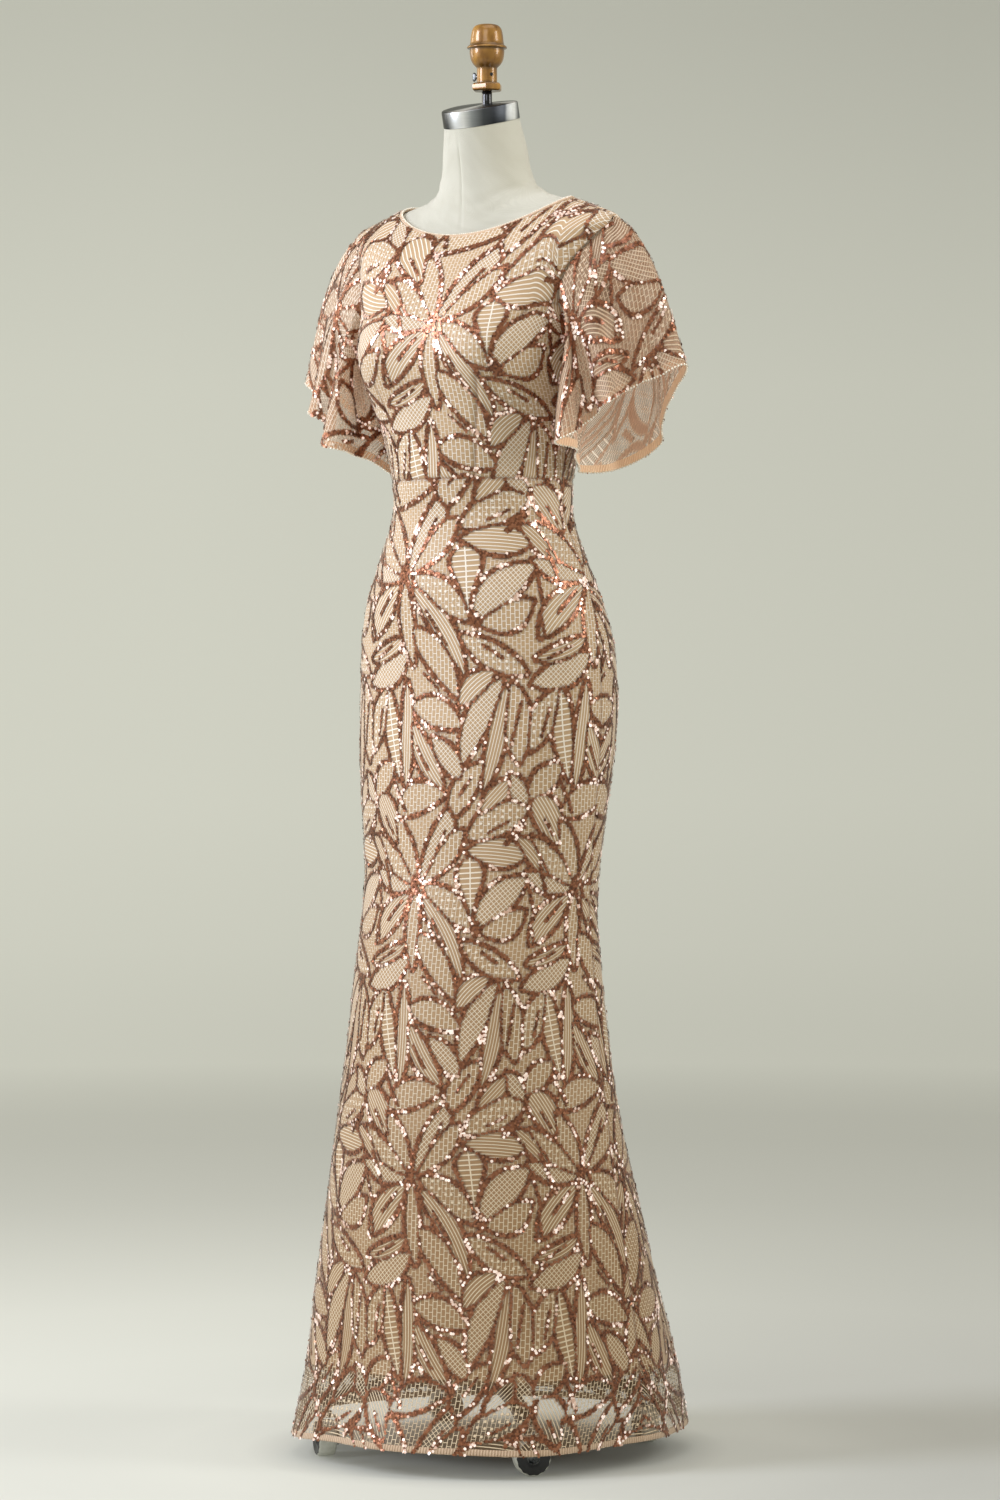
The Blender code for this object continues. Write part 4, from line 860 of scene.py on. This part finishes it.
lining = {"drop": 0.006, "from": 0.80, "to": 0.50, "columns": 44, "step": 0.013}
linings = {}
for side, suffix in sides:
    for part, low, high in (("skirt", levels["liningHem"], levels["waist"]),
                            ("bodice", levels["waist"], levels["binding"])):
        level, normals, skin = panelGrid(side, low, high, lining["step"], lining["columns"])
        share = wayThrough(level, lining["from"], lining["to"]) if part == "skirt" else 0 * level
        points = skin + (layers["lining"] - lining["drop"] * share)[..., None] * normals
        linings[f"{part}_{suffix}"] = putMesh(
            f"{part}_lining_{suffix}_tricot", points, gridFaces(*level.shape, flip=True), [nudeTricot],
            "nude_lining", f"{part}_lining_{suffix}", uv=spread(lengthAlong(points, 1), level))
print("stage: linings")

# the hem's folded edge, the rolled neckline and its beads

hem = {"tall": 0.0070, "outer": 0.0044, "inner": 0.0022, "round": 0.0005, "columns": 560}
tall, outer, inner, rounded = (hem[key] for key in ("tall", "outer", "inner", "round"))
fold = np.array([  # height above the hem, distance out: up the outside, round the edge, up the inside
    [tall, outer - 0.0003], [0.006, outer], [0.003, outer], [0.001, outer], [0.0, outer - rounded],
    [0.0, inner + rounded], [0.001, inner], [0.005, inner], [tall, inner]])
angle = np.linspace(0, 2 * math.pi, hem["columns"])[None]
level = levels["hem"] + fold[:, :1]
points = bodyPoint(angle, level) + fold[:, 1:, None] * bodyNormal(angle, level)
folded = np.cumsum(np.hypot(*np.diff(fold, axis=0, prepend=fold[:1]).T))
uv = spread(lengthAlong(points[3])[None], folded[:, None])
trims["skirt_front"].append(putMesh("skirt_hem_fold", points, gridFaces(*uv.shape[:2]), [foldedHem],
                                    "sequinned_mesh", uv=uv))

neckRoll = {"columns": 360, "sides": 12, "up": 0.0012, "out": 0.0027, "wide": 0.0021, "tall": 0.0026,
            "girth": 0.013, "bead": 0.00125, "spacing": 0.0029, "beadUp": 0.9, "beadOut": 0.5}
angle, level = fullTurn(neckRoll["columns"]), levels["binding"] + neckRoll["up"]
outwards = bodyNormal(angle, level)
upwards = unit(bodyPoint(angle, level + 0.001) - bodyPoint(angle, level - 0.001))
centre = bodyPoint(angle, level) + neckRoll["out"] * outwards
wide, tall = neckRoll["wide"] * outwards, neckRoll["tall"] * upwards
turn = fullTurn(neckRoll["sides"])[:, None]
points = centre[:, None] + np.cos(turn) * wide[:, None] + np.sin(turn) * tall[:, None]
uv = spread(lengthAlong(centre)[:, None], np.linspace(0, neckRoll["girth"], neckRoll["sides"]))
faces = roundFaces(*points.shape[:2], hoop=True)[0][:, [0, 3, 2, 1]]
binding = putMesh("neckline_rolled_binding", points, faces, [nudeBinding], "nude_binding", "neck_binding",
                  uv=uv)
edge = centre + neckRoll["beadUp"] * tall + neckRoll["beadOut"] * wide
beads = putBeads("neckline_beads", np.concatenate([edge, edge[:1]]), neckRoll, "nude_binding")
trims["bodice_front"] += [binding, beads]
print("stage: hem fold and neckline")

# the concealed zip down the middle of the back: a flat tape, and a coil as a row of six-sided bars
# that taper at both ends, each a little aside of the one before

sideways = np.array([1.0, 0, 0])
zipLevels = evenLevels(levels["zipBottom"] + 0.002, levels["binding"] - 0.0005, zipper["step"])
back = np.full(zipLevels.shape, 1.5 * math.pi)
middle, outward = bodyPoint(back, zipLevels), bodyNormal(back, zipLevels)
across = np.linspace(-zipper["tapeHalf"], zipper["tapeHalf"], zipper["tapeColumns"])
points = (middle + zipper["tapeOut"] * outward)[:, None] + across[:, None] * sideways
zipTape = putMesh("zip_woven_tape", points, gridFaces(*points.shape[:2]), [zipTapeWeave], "zip_tape",
                  "zip_tape", uv=spread(across, lengthAlong(middle)[:, None]))
places = evenlyAlong(middle + zipper["coilOut"] * outward, zipper["pitch"])
section = spread(0.0, np.cos(fullTurn(6)), np.sin(fullTurn(6))) * zipper["coilThick"]
barRows = np.array([[-1, 0.55], [-0.8, 1.0], [0.8, 1.0], [1, 0.55]])  # share of the width, of the thickness
bar = section * barRows[:, 1:, None] + barRows[:, :1, None] * zipper["coilHalf"] * sideways
count = np.arange(len(places))[:, None, None]
shift = np.where(count % 2, zipper["aside"], -zipper["aside"])[..., None] * sideways
faces = [(24 * count + block).reshape(-1, block.shape[1]) for block in roundFaces(4, 6)]
zipCoil = putMesh("zip_nylon_coil", places[:, None, None] + bar + shift, faces, [nylonCoil], "zip_tape")
print("stage: zip", len(places), "turns of the coil")

# the sleeves

sleeveHem = np.array([  # turn, x, y, z; thousandths
    (0, 284, 12, 1326), (70, 260, -12, 1313), (130, 240, -28, 1302), (200, 229, -64, 1284),
    (270, 203, -58, 1268), (340, 183, -90, 1240), (400, 157, -80, 1232), (450, 158, -42, 1226),
    (520, 138, -6, 1206), (600, 136, 34, 1202), (680, 150, 68, 1208), (760, 180, 80, 1222),
    (830, 206, 80, 1240), (900, 226, 48, 1272), (960, 262, 38, 1308),
]) / 1000
sleeveRuns = np.array([  # turn, way out of the armhole and its handle, way down at the hem and its handle
    (0, 930, 30, -360, 56, 300, 50, -950, 60), (250, 740, -400, -500, 36, 220, -120, -970, 60),
    (500, 860, 0, -500, 24, 0, 0, -1000, 50), (750, 780, 480, -400, 40, 160, 160, -970, 60),
]) / 1000
sleeves = {
    "folds": [(9, 0.0020, 0.1), (14, 0.0013, 0.55)],  # how many round the arm, height, place
    "creases": np.array([  # turn, half width in turns, height, how far down it starts; thousandths
        (365, 26, 8.5, 350), (300, 20, -8, 300), (235, 24, 6, 450), (170, 20, -5, 500), (105, 26, 4, 500),
        (440, 22, -7, 450), (560, 30, 4.5, 400), (640, 25, -5, 400), (720, 28, 5.5, 450),
        (800, 22, -5.5, 400), (880, 28, 5, 450), (950, 20, -3.5, 500),
    ]) / 1000,
    "columns": 300, "rows": 76, "ringRows": 400, "clear": 0.0004, "wall": 0.0009, "fold": 0.011,
    "bead": 0.0015, "spacing": 0.0041, "seamDip": 0.7}


def armholeRing(side, turn):
    # the armhole's edge from the underarm up the front and down the back, read at even lengths and
    # drawn in by what keeps the sleeve clear of the bodice
    level = np.linspace(levels["underarm"], levels["shoulder"], sleeves["ringRows"])
    front, back = (bodyPoint(angle, level) + layers["shell"] * bodyNormal(angle, level)
                   for angle in (armholeTurn(level, "front"), -armholeTurn(level, "back")))
    ring = np.concatenate([front[::-1], back[1:]])
    travelled = lengthAlong(ring)
    even = np.stack([np.interp(turn, travelled / travelled[-1], ring[:, k]) for k in range(3)], axis=1)
    return (even + unit(ring.mean(axis=0) - even) * sleeves["clear"]) * (side, 1, 1)


def closedNormals(points):
    # the cross product of the steps round the arm and down it; the last column repeats the first
    around = np.roll(points[:, :-1], -1, axis=1) - np.roll(points[:, :-1], 1, axis=1)
    return unit(np.cross(np.concatenate([around, around[:, :1]], axis=1), np.gradient(points, axis=0)))


def sleeveCloth(side):
    # at each turn round the arm a cubic curve runs from the armhole to the hem, raised by sine
    # folds and bell-shaped creases that grow towards the hem
    turn = np.linspace(0, 1, sleeves["columns"])
    t = np.linspace(0, 1, sleeves["rows"])[:, None, None]
    start, mirror = armholeRing(side, turn), np.array([side, 1, 1])
    hem = np.stack([smoothRound(sleeveHem[:, 0], column, turn) for column in sleeveHem.T[1:]], 1) * mirror
    runs = np.stack([smoothRound(sleeveRuns[:, 0], column, turn) for column in sleeveRuns.T[1:]], 1)
    leave, arrive = (unit(runs[:, k:k + 3]) * mirror * runs[:, k + 3:k + 4] for k in (0, 4))
    points = (start * (1 - t) ** 3 + (start + leave) * 3 * t * (1 - t) ** 2
              + (hem - arrive) * 3 * t**2 * (1 - t) + hem * t**3)
    folds = sum(tall * np.sin(2 * math.pi * (count * turn + place))
                for count, tall, place in sleeves["folds"])
    rise = folds[:, None] * t**1.4
    for place, wide, tall, starts in sleeves["creases"]:
        away = (turn - place + 0.5) % 1 - 0.5
        rise = rise + tall * bell(away, wide)[:, None] * wayThrough(t, starts * 0.6, 1) * (1.5 - 0.8 * t)
    points = points + closedNormals(points) * side * rise
    normals = closedNormals(points) * side
    u, v = lengthAlong(points, 1), -lengthAlong(points)
    u = (u - np.stack([np.interp(0.25, turn, row) for row in u])[:, None]) * side
    return clothFrom(points, normals, u, v, sleevePattern, -v, dip=sleeves["seamDip"])


for side, name in ((1, "sleeve_left"), (-1, "sleeve_right")):
    sleeve = sleeveCloth(side)
    shells[name] = putCloth(name + "_net", sleeve, [sleeveNets[name]], name, flip=side < 0)
    sparkle = sequinsOn(name + "_sequins", sleeve)
    wall = sleeve["normals"] * sleeves["wall"]
    fromHem = sleeve["v"] - sleeve["v"][-1:]
    wrong = putCloth(name + "_wrong_side", sleeve | {"points": sleeve["points"] - wall},
                     [wrongSideNetPaintedLit, sleeveFoldPaintedLit], flip=side > 0,
                     finish=(fromHem[:-1, :-1] < sleeves["fold"]).ravel())
    edge = (sleeve["points"] - wall / 2)[-1, :-1]
    beads = putBeads(name + "_beads", np.concatenate([edge, edge[:1]]), sleeves, "sequinned_mesh")
    trims[name] = [sparkle, wrong, beads]
print("stage: sleeves")

# the dress form

form = {"columns": 192, "hiddenStep": 0.016, "step": 0.007, "coveredTo": 1.49, "roundTo": 1.605,
        "neckTop": 1.6382, "tilt": math.radians(14.0), "capTall": 0.0215,
        "ease": 0.0020, "easeFrom": 1.345, "easeTo": 1.523, "easeOver": 0.015,  # drawn in under the cloth
        "wrinkle": 0.0007, "wrinkleAt": 1.556, "wrinkleReach": 0.016, "wrinklePitch": 0.0105,
        "seam": 0.0008, "seamReach": 0.020, "seamFrom": 1.534, "seamTo": 1.544}


def neckRing(out, rise):
    # the neck's top edge on its tilted plane, moved out and up along the plane's normal
    tilt = form["tilt"]
    ring = bodyPoint(fullTurn(form["columns"]) - math.pi / 2, sections[-1, 0])
    middle = ring.mean(axis=0) * (1, 1, 0)
    flat = (ring - middle) * (1, 1, 0)
    flat = middle + flat * (1 + out / np.linalg.norm(flat, axis=1, keepdims=True))
    flat[:, 2] = form["neckTop"] + flat[:, 1] * math.tan(tilt)
    return flat + rise * np.array([0, -math.sin(tilt), math.cos(tilt)])


def formRows():
    # rows of the torso, with soft waves where the neck meets the shoulders and a groove along the
    # front seam, then four rows that lead to the tilted top
    hidden = evenLevels(levels["formBottom"], form["coveredTo"], form["hiddenStep"])
    level = np.append(hidden[:-1], evenLevels(form["coveredTo"], form["roundTo"], form["step"]))[:, None]
    angle = (fullTurn(form["columns"]) - math.pi / 2)[None]
    fromEnds = np.minimum(level - form["easeFrom"], form["easeTo"] - level)
    ease = form["ease"] * np.clip(fromEnds / form["easeOver"], 0, 1)
    wave = 2 * math.pi * level / form["wrinklePitch"] + 2.2 * np.sin(angle * 2) + 1.4 * np.sin(angle * 5 + 1)
    wrinkles = form["wrinkle"] * bell(level - form["wrinkleAt"], form["wrinkleReach"]) * np.sin(wave)
    seam = form["seam"] * bell(angle - math.pi / 2, form["seamReach"])
    seam = seam * wayThrough(level, form["seamFrom"], form["seamTo"])
    points = bodyPoint(angle, level) + bodyNormal(angle, level) * (wrinkles - ease - seam)[..., None]
    share = np.linspace(0.25, 1, 4)[:, None, None]
    return np.concatenate([points, points[-1:] * (1 - share) + neckRing(0.0, 0.0) * share])


rows = formRows()
putParts("form_canvas_torso", [(rows, ivoryCanvas)], slot="form_canvas", node="form_torso",
         uv=spread(lengthAlong(rows, 1), lengthAlong(rows)))

capTop = form["capTall"]
cap = np.stack([neckRing(out, rise) for out, rise in (
    (0.0005, 0.0003), (0.0007, 0.0012), (0.0007, capTop - 0.0026), (0.0004, capTop - 0.0012),
    (-0.0006, capTop - 0.0003), (-0.0020, capTop), (-0.0120, capTop + 0.0001))])
putParts("neck_cap_steel", [(cap, spunSteel)], slot="brushed_steel", node="neck_cap")
rod = turned([(6.3, 1655), (6.3, 1674), (5.8, 1675.2)], 48)
putParts("neck_rod_steel", [(rod, blackSteel)], slot="blackened_steel", node="neck_rod")

finialProfile = [  # like every row for turned: radius, height
    (12.6, 1685), (12.5, 1687), (12.5, 1695), (12.5, 1702.5), (13.3, 1704.6), (17, 1708.4), (20, 1714),
    (21.3, 1721), (21.6, 1726.8), (22.6, 1727.3), (24.3, 1727.8), (24.8, 1729), (24, 1730.4),
    (21.8, 1732.2), (20.8, 1735), (20.3, 1738), (19.6, 1745), (17.8, 1752), (14, 1756.3), (8, 1757.8),
    (2, 1758),
]
foot = [
    (13.8, 1675.3), (14.8, 1675.3), (16.8, 1676.6), (17, 1677.2), (17, 1682.8), (16.8, 1683.4), (15, 1685),
    (12, 1685.2),
]
sixSided = 1 / np.cos(fullTurn(48) % (math.pi / 3) - math.pi / 6)  # a hexagon whose flats lie at the radius
holeWay = (math.cos(math.radians(-28)), math.sin(math.radians(-28)), 0)
putParts("finial_turned_brass", [
    (turned(roundedRows(finialProfile, 4), 72), turnedBrass), (turned(foot, 48, swell=sixSided), turnedBrass),
    (turned([(2.2, 11.8), (2.2, 12.7)], 20, (0, 0, 1.6950), holeWay), blackSteel)],
    slot="aged_brass", node="finial")

wing = roundedRows([  # distance out from the collar, half height, half thickness; millimetres
    (0, 2.2, 2.2), (2.8, 2.2, 2.2), (4, 4.2, 1.4), (6.2, 5.6, 1.2), (8, 5, 1.1), (8.6, 3.6, 0.7),
], 4) / 1000
screw = {"out": -0.0128, "level": 1.6942, "sides": 28}
turn = fullTurn(screw["sides"])
points = spread(screw["out"] - wing[:, :1], wing[:, 2:] * np.cos(turn),
                screw["level"] + wing[:, 1:2] * np.sin(turn))
putParts("thumb_screw_steel", [(points, platedSteel)], slot="brushed_steel", node="thumb_screw",
         body="thumb_screw")
print("stage: form, cap and finial")

# the rolling stand

stand = {"firstLeg": -41.7, "casterOut": 0.205, "trail": 0.006, "axleHeight": 0.022068, "plateHalf": 0.00098,
         "scallops": 14, "wheelSides": 84, "legRows": 60, "legSides": 32}
hubProfile = [
    (22, 72), (26.2, 72.2), (29.2, 74.5), (30, 80), (30, 98), (30, 112), (28, 116.5), (22.5, 120),
    (19.5, 124.5), (18.5, 130), (17.5, 132), (14, 132.3),
]
putParts("stand_pole", [(turned([(12.5, 132.3), (12.5, 799.7)], 48), brushedSteel)], slot="brushed_steel",
         node="pole")
putParts("stand_hub", [(turned(roundedRows(hubProfile, 3), 64), castIron)], slot="cast_iron", node="base_hub")

legStations = np.array([  # distance from the pole, height of the underside, thickness, width; millimetres
    (28.5, 80, 30, 24), (60, 81, 25, 22), (110, 76, 21, 20), (165, 66, 17, 19), (189, 61.1, 15, 22),
    (208, 61, 13.5, 22), (215, 61.6, 11.5, 18.5), (217.8, 62.6, 8.5, 12),
]) / 1000
legOut = np.linspace(legStations[0, 0], legStations[-1, 0], stand["legRows"])
under, thick, wide = (smoothThrough(legStations[:, 0], column, legOut)[:, None]
                      for column in legStations.T[1:])
roundness = 0.55  # 1 is an oval section, nearer 0 is a square one
across, upright = (np.sign(wave) * np.abs(wave) ** roundness
                   for wave in (np.cos(fullTurn(stand["legSides"])), np.sin(fullTurn(stand["legSides"]))))
legPoints = spread(legOut[:, None], wide / 2 * across, under + thick / 2 * (1 + upright))

# the bracket's bent plate down one side of the wheel, with its section's outline: shares of the
# half width and of the half thickness
platePath = roundedRows([  # along the leg, up, half width, way across; millimetres
    (-15.5, 12.8, 3, 6), (-15.5, 15, 6.2, 6), (-15.5, 22, 8.2, 6), (-15.5, 33, 9.6, 5.2),
    (-15.4, 43, 11.2, 4.4), (-13.5, 47.4, 11.8, 4.2), (-8, 48.2, 12, 4.2), (0, 48.2, 11.8, 4),
    (6, 48.2, 9.5, 3), (7.8, 48.2, 6, 2),
], 4) / 1000
plateRing = np.array([(-1, 0), (-0.97, 0.7), (-0.9, 1), (0.9, 1), (0.97, 0.7), (1, 0), (0.97, -0.7),
                      (0.9, -1), (-0.9, -1), (-0.97, -0.7)]) * (1, stand["plateHalf"])
way = unit(np.gradient(platePath[:, :2], axis=0))
platePoints = spread(platePath[:, :1] - way[:, 1:] * plateRing[:, 1],
                     platePath[:, 3:] + platePath[:, 2:3] * plateRing[:, 0],
                     platePath[:, 1:2] + way[:, :1] * plateRing[:, 1])
race = [
    (9.5, 49.4), (10, 50), (10, 53), (8.5, 54), (5.2, 54.2), (5, 54.5), (5, 60.7),
]
axlePin = [
    (4, -18.6), (4.6, -18), (4.8, -16.6), (4.8, -16),
]

# the wheel: a grey tyre with a wavy lip, a black dished disc with a scalloped rim, and a cap
tyre = roundedRows([
    (19, -9.8), (19.9, -10.9), (21.1, -10), (21.8, -7.2), (22.06, -3), (22.06, 3), (21.8, 7.2), (21.1, 10),
    (20.1, 11), (19.5, 10.7), (19.1, 9.8), (18, 6), (18, -6), (18.4, -9.4),
], 2)
disc = np.array([
    (3.5, -14.2), (3.5, -10.6), (4, -10.3), (19.2, -10), (19.7, -9.2), (19.7, 9.4), (20.2, 10.6),
    (20.3, 11.2), (19.6, 11.6), (16.5, 10.8), (13, 9.8), (10.5, 9.8), (9.5, 10.4), (8.6, 10.8), (7, 11),
])
hubCap = roundedRows([
    (8, 10.4), (8, 11.2), (6.6, 11.9), (6, 11.4), (4.8, 12), (2.8, 12.3), (0.6, 12.3),
], 2)
scallops = np.cos(stand["scallops"] * fullTurn(stand["wheelSides"]))
lip = 1 + 0.020 * scallops * bell(tyre[:, :1] - 19.2, 0.9)
wavy = 1 + 0.022 * scallops * (disc[:, :1] > 19.9)


def placed(points, axis, out=0.0):
    # points given as (along the leg, across it, up), turned to the leg's own direction
    cos, sin = math.cos(axis), math.sin(axis)
    return (points + (out, 0, 0)) @ np.array([[cos, sin, 0], [-sin, cos, 0], [0, 0, 1.0]])


for number in range(1, 5):
    axis = math.radians(stand["firstLeg"] + 90 * (number - 1))
    along, out = (math.cos(axis), math.sin(axis), 0.0), stand["casterOut"]
    stem = placed(np.zeros(3), axis, out)
    axle = placed(np.array([0, stand["trail"], stand["axleHeight"]]), axis, out)
    putParts(f"stand_leg_{number}", [(placed(legPoints, axis), castIron)], slot="cast_iron",
             node=f"leg_{number}")
    putParts(f"caster_{number}_bracket", [
        (placed(platePoints, axis, out), chromeSteel), (turned(race, 32, stem), chromeSteel),
        (turned(axlePin, 24, axle, along), chromeSteel)],
        slot="chrome", node=f"caster_bracket_{number}", body=f"caster_{number}")
    putParts(f"caster_{number}_wheel", [
        (turned(tyre, stand["wheelSides"], axle, along, lip), greyTyre, True),
        (turned(disc, stand["wheelSides"], axle, along, wavy), blackNylon),
        (turned(hubCap, 32, axle, along), platedSteel)],
        slot="black_wheel", node=f"caster_wheel_{number}", body=f"wheel_{number}")
print("stage: stand")

for name in ("zip_slider", "zip_pull"):  # carried over with a better finish
    for place in bpy.data.objects[name].material_slots:
        place.link, place.material = "OBJECT", agedBrass

# each piece of cloth, the net then the lining, and the part its name starts with

for layer, pieces in enumerate((shells, linings)):
    for name, piece in pieces.items():
        part = name.split("_")[0]

# stage, lights and camera

view = {"azimuth": math.radians(35), "height": 0.93, "away": 5.7,
        "focal": 4617, "aside": 13, "down": -55, "tall": 1500}  # in pixels of a frame 1500 high
stage = {"wall": "#A5A6A1", "glow": "#DEE0D3", "lean": 0.08, "floorLean": 0.18, "floorRadius": 6.0,
         "lastRing": 5.9, "rings": 60, "wallRadius": 11.0, "bend": 4.0, "bendRings": 40, "height": 9.0,
         "sides": 96}
stageGlow = np.array([  # metres out on the floor, or 6 m plus the height up the wall, and the light given
    [0.0, 0.0], [0.17, 0.02], [0.26, 0.34], [0.4, 0.34], [0.55, 0.30], [0.9, 0.35], [1.4, 0.38], [2.8, 0.32],
    [4.0, 0.32], [4.6, 0.34], [5.2, 0.39], [6.0, 0.47], [6.2, 0.52], [6.6, 0.565], [7.3, 0.56], [8.0, 0.54],
    [8.7, 0.47], [9.4, 0.39], [12.0, 0.35], [15.0, 0.35]])


def fromCamera(right, towards, height):
    # a place given as seen by the camera: to its right, towards it, and up
    cos, sin = math.cos(view["azimuth"]), math.sin(view["azimuth"])
    return (right * cos + towards * sin, right * sin - towards * cos, height)


def paperSweep():
    # a round floor that turns up into a wall by a quarter of an ellipse, all in one surface; the
    # paper gives a little light of its own, by the table above, as if washed by its own lamps, and
    # less of it towards the camera's right
    bend = np.linspace(0, math.pi / 2, stage["bendRings"])
    curve = stage["floorRadius"] + (stage["wallRadius"] - stage["floorRadius"]) * np.sin(bend)
    radius = np.concatenate([np.linspace(0, stage["lastRing"], stage["rings"]), curve, [stage["wallRadius"]]])
    height = np.concatenate([np.zeros(stage["rings"]), stage["bend"] * (1 - np.cos(bend)), [stage["height"]]])
    radius, height = radius[:, None], height[:, None]
    turn = np.linspace(0, 2 * math.pi, stage["sides"] + 1)
    points = spread(radius * np.cos(turn), radius * np.sin(turn), height)
    made, tree, shader = newMaterial("paintedSweep", {
        "Roughness": 0.9, "Base Color": stage["wall"], "Emission Color": stage["glow"]})
    feed(shader, {"Emission Strength": addNode(tree, "Attribute", output="Fac", attribute_name="glow")})
    glow = np.interp(np.minimum(radius, stage["floorRadius"]) + height, stageGlow[:, 0], stageGlow[:, 1])
    aside = points @ (*fromCamera(1, 0, 0)[:2], 0)
    glow = glow - stage["lean"] * np.clip(aside / 2.2 + 0.15, -0.4, 1) * (glow > 0.1)
    onFloor = bell(radius, 1.6) * (height < 0.01)
    glow = np.maximum(glow - stage["floorLean"] * onFloor * np.clip(aside / 0.55, -0.6, 1.3), 0)
    putMesh("paper_sweep", points, gridFaces(*glow.shape), [made], body=None,
                     attributes={"glow": glow})


def softLight(name, place, target, size, power, colour):
    # a soft box at a place given as seen by the camera, turned to face its target
    lamp = bpy.data.lights.new(name, "AREA")
    lamp.shape, lamp.size, lamp.size_y, lamp.energy = "RECTANGLE", size[0], size[1], power
    lamp.color = linearColour(colour)[:3]
    made = bpy.data.objects.new(name, lamp)
    made.location = fromCamera(*place)
    towards = np.array(target) - np.array(fromCamera(*place))
    made.rotation_euler = (math.acos(-towards[2] / np.linalg.norm(towards)), 0,
                           math.atan2(towards[1], towards[0]) - math.pi / 2)
    bpy.context.scene.collection.objects.link(made)


paperSweep()
for light in (
        ("key_softbox", (-3.0, 0.9, 2.4), (0, 0, 1.15), (1.1, 1.7), 112, "#EEF2FF"),
        ("front_softbox", (-0.5, 2.3, 2.9), (0, 0, 1.35), (1.2, 1.0), 12, "#F2F5FF"),
        ("fill_softbox", (2.6, 0.8, 2.2), (0, 0, 1.15), (0.8, 1.6), 38, "#FAF8F4"),
        ("rim_softbox", (-2.4, -1.5, 2.1), (-0.15, 0, 1.3), (0.7, 1.4), 14, "#FFF6EC"),
        ("top_softbox", (0.3, 0.6, 3.6), (0, 0, 1.0), (2.4, 1.6), 18, "#FFFFFF")):
    softLight(*light)

world = bpy.data.worlds.new("studio_air")
world.use_nodes = True
feed(world.node_tree.nodes["Background"], {"Color": "#FFF3E0", "Strength": 0.42})
bpy.context.scene.world = world

camera = bpy.data.cameras.new("camera")
camera.sensor_fit, camera.sensor_width, camera.lens = "AUTO", 36.0, view["focal"] * 36 / view["tall"]
camera.shift_x, camera.shift_y = view["aside"] / view["tall"], view["down"] / view["tall"]
viewer = bpy.data.objects.new("camera", camera)
viewer.location = fromCamera(0, view["away"], view["height"])
viewer.rotation_euler = (math.pi / 2, 0, view["azimuth"])
bpy.context.scene.collection.objects.link(viewer)
bpy.context.scene.camera = viewer
bpy.context.scene.view_settings.view_transform = "Standard"

print("stage: finished")
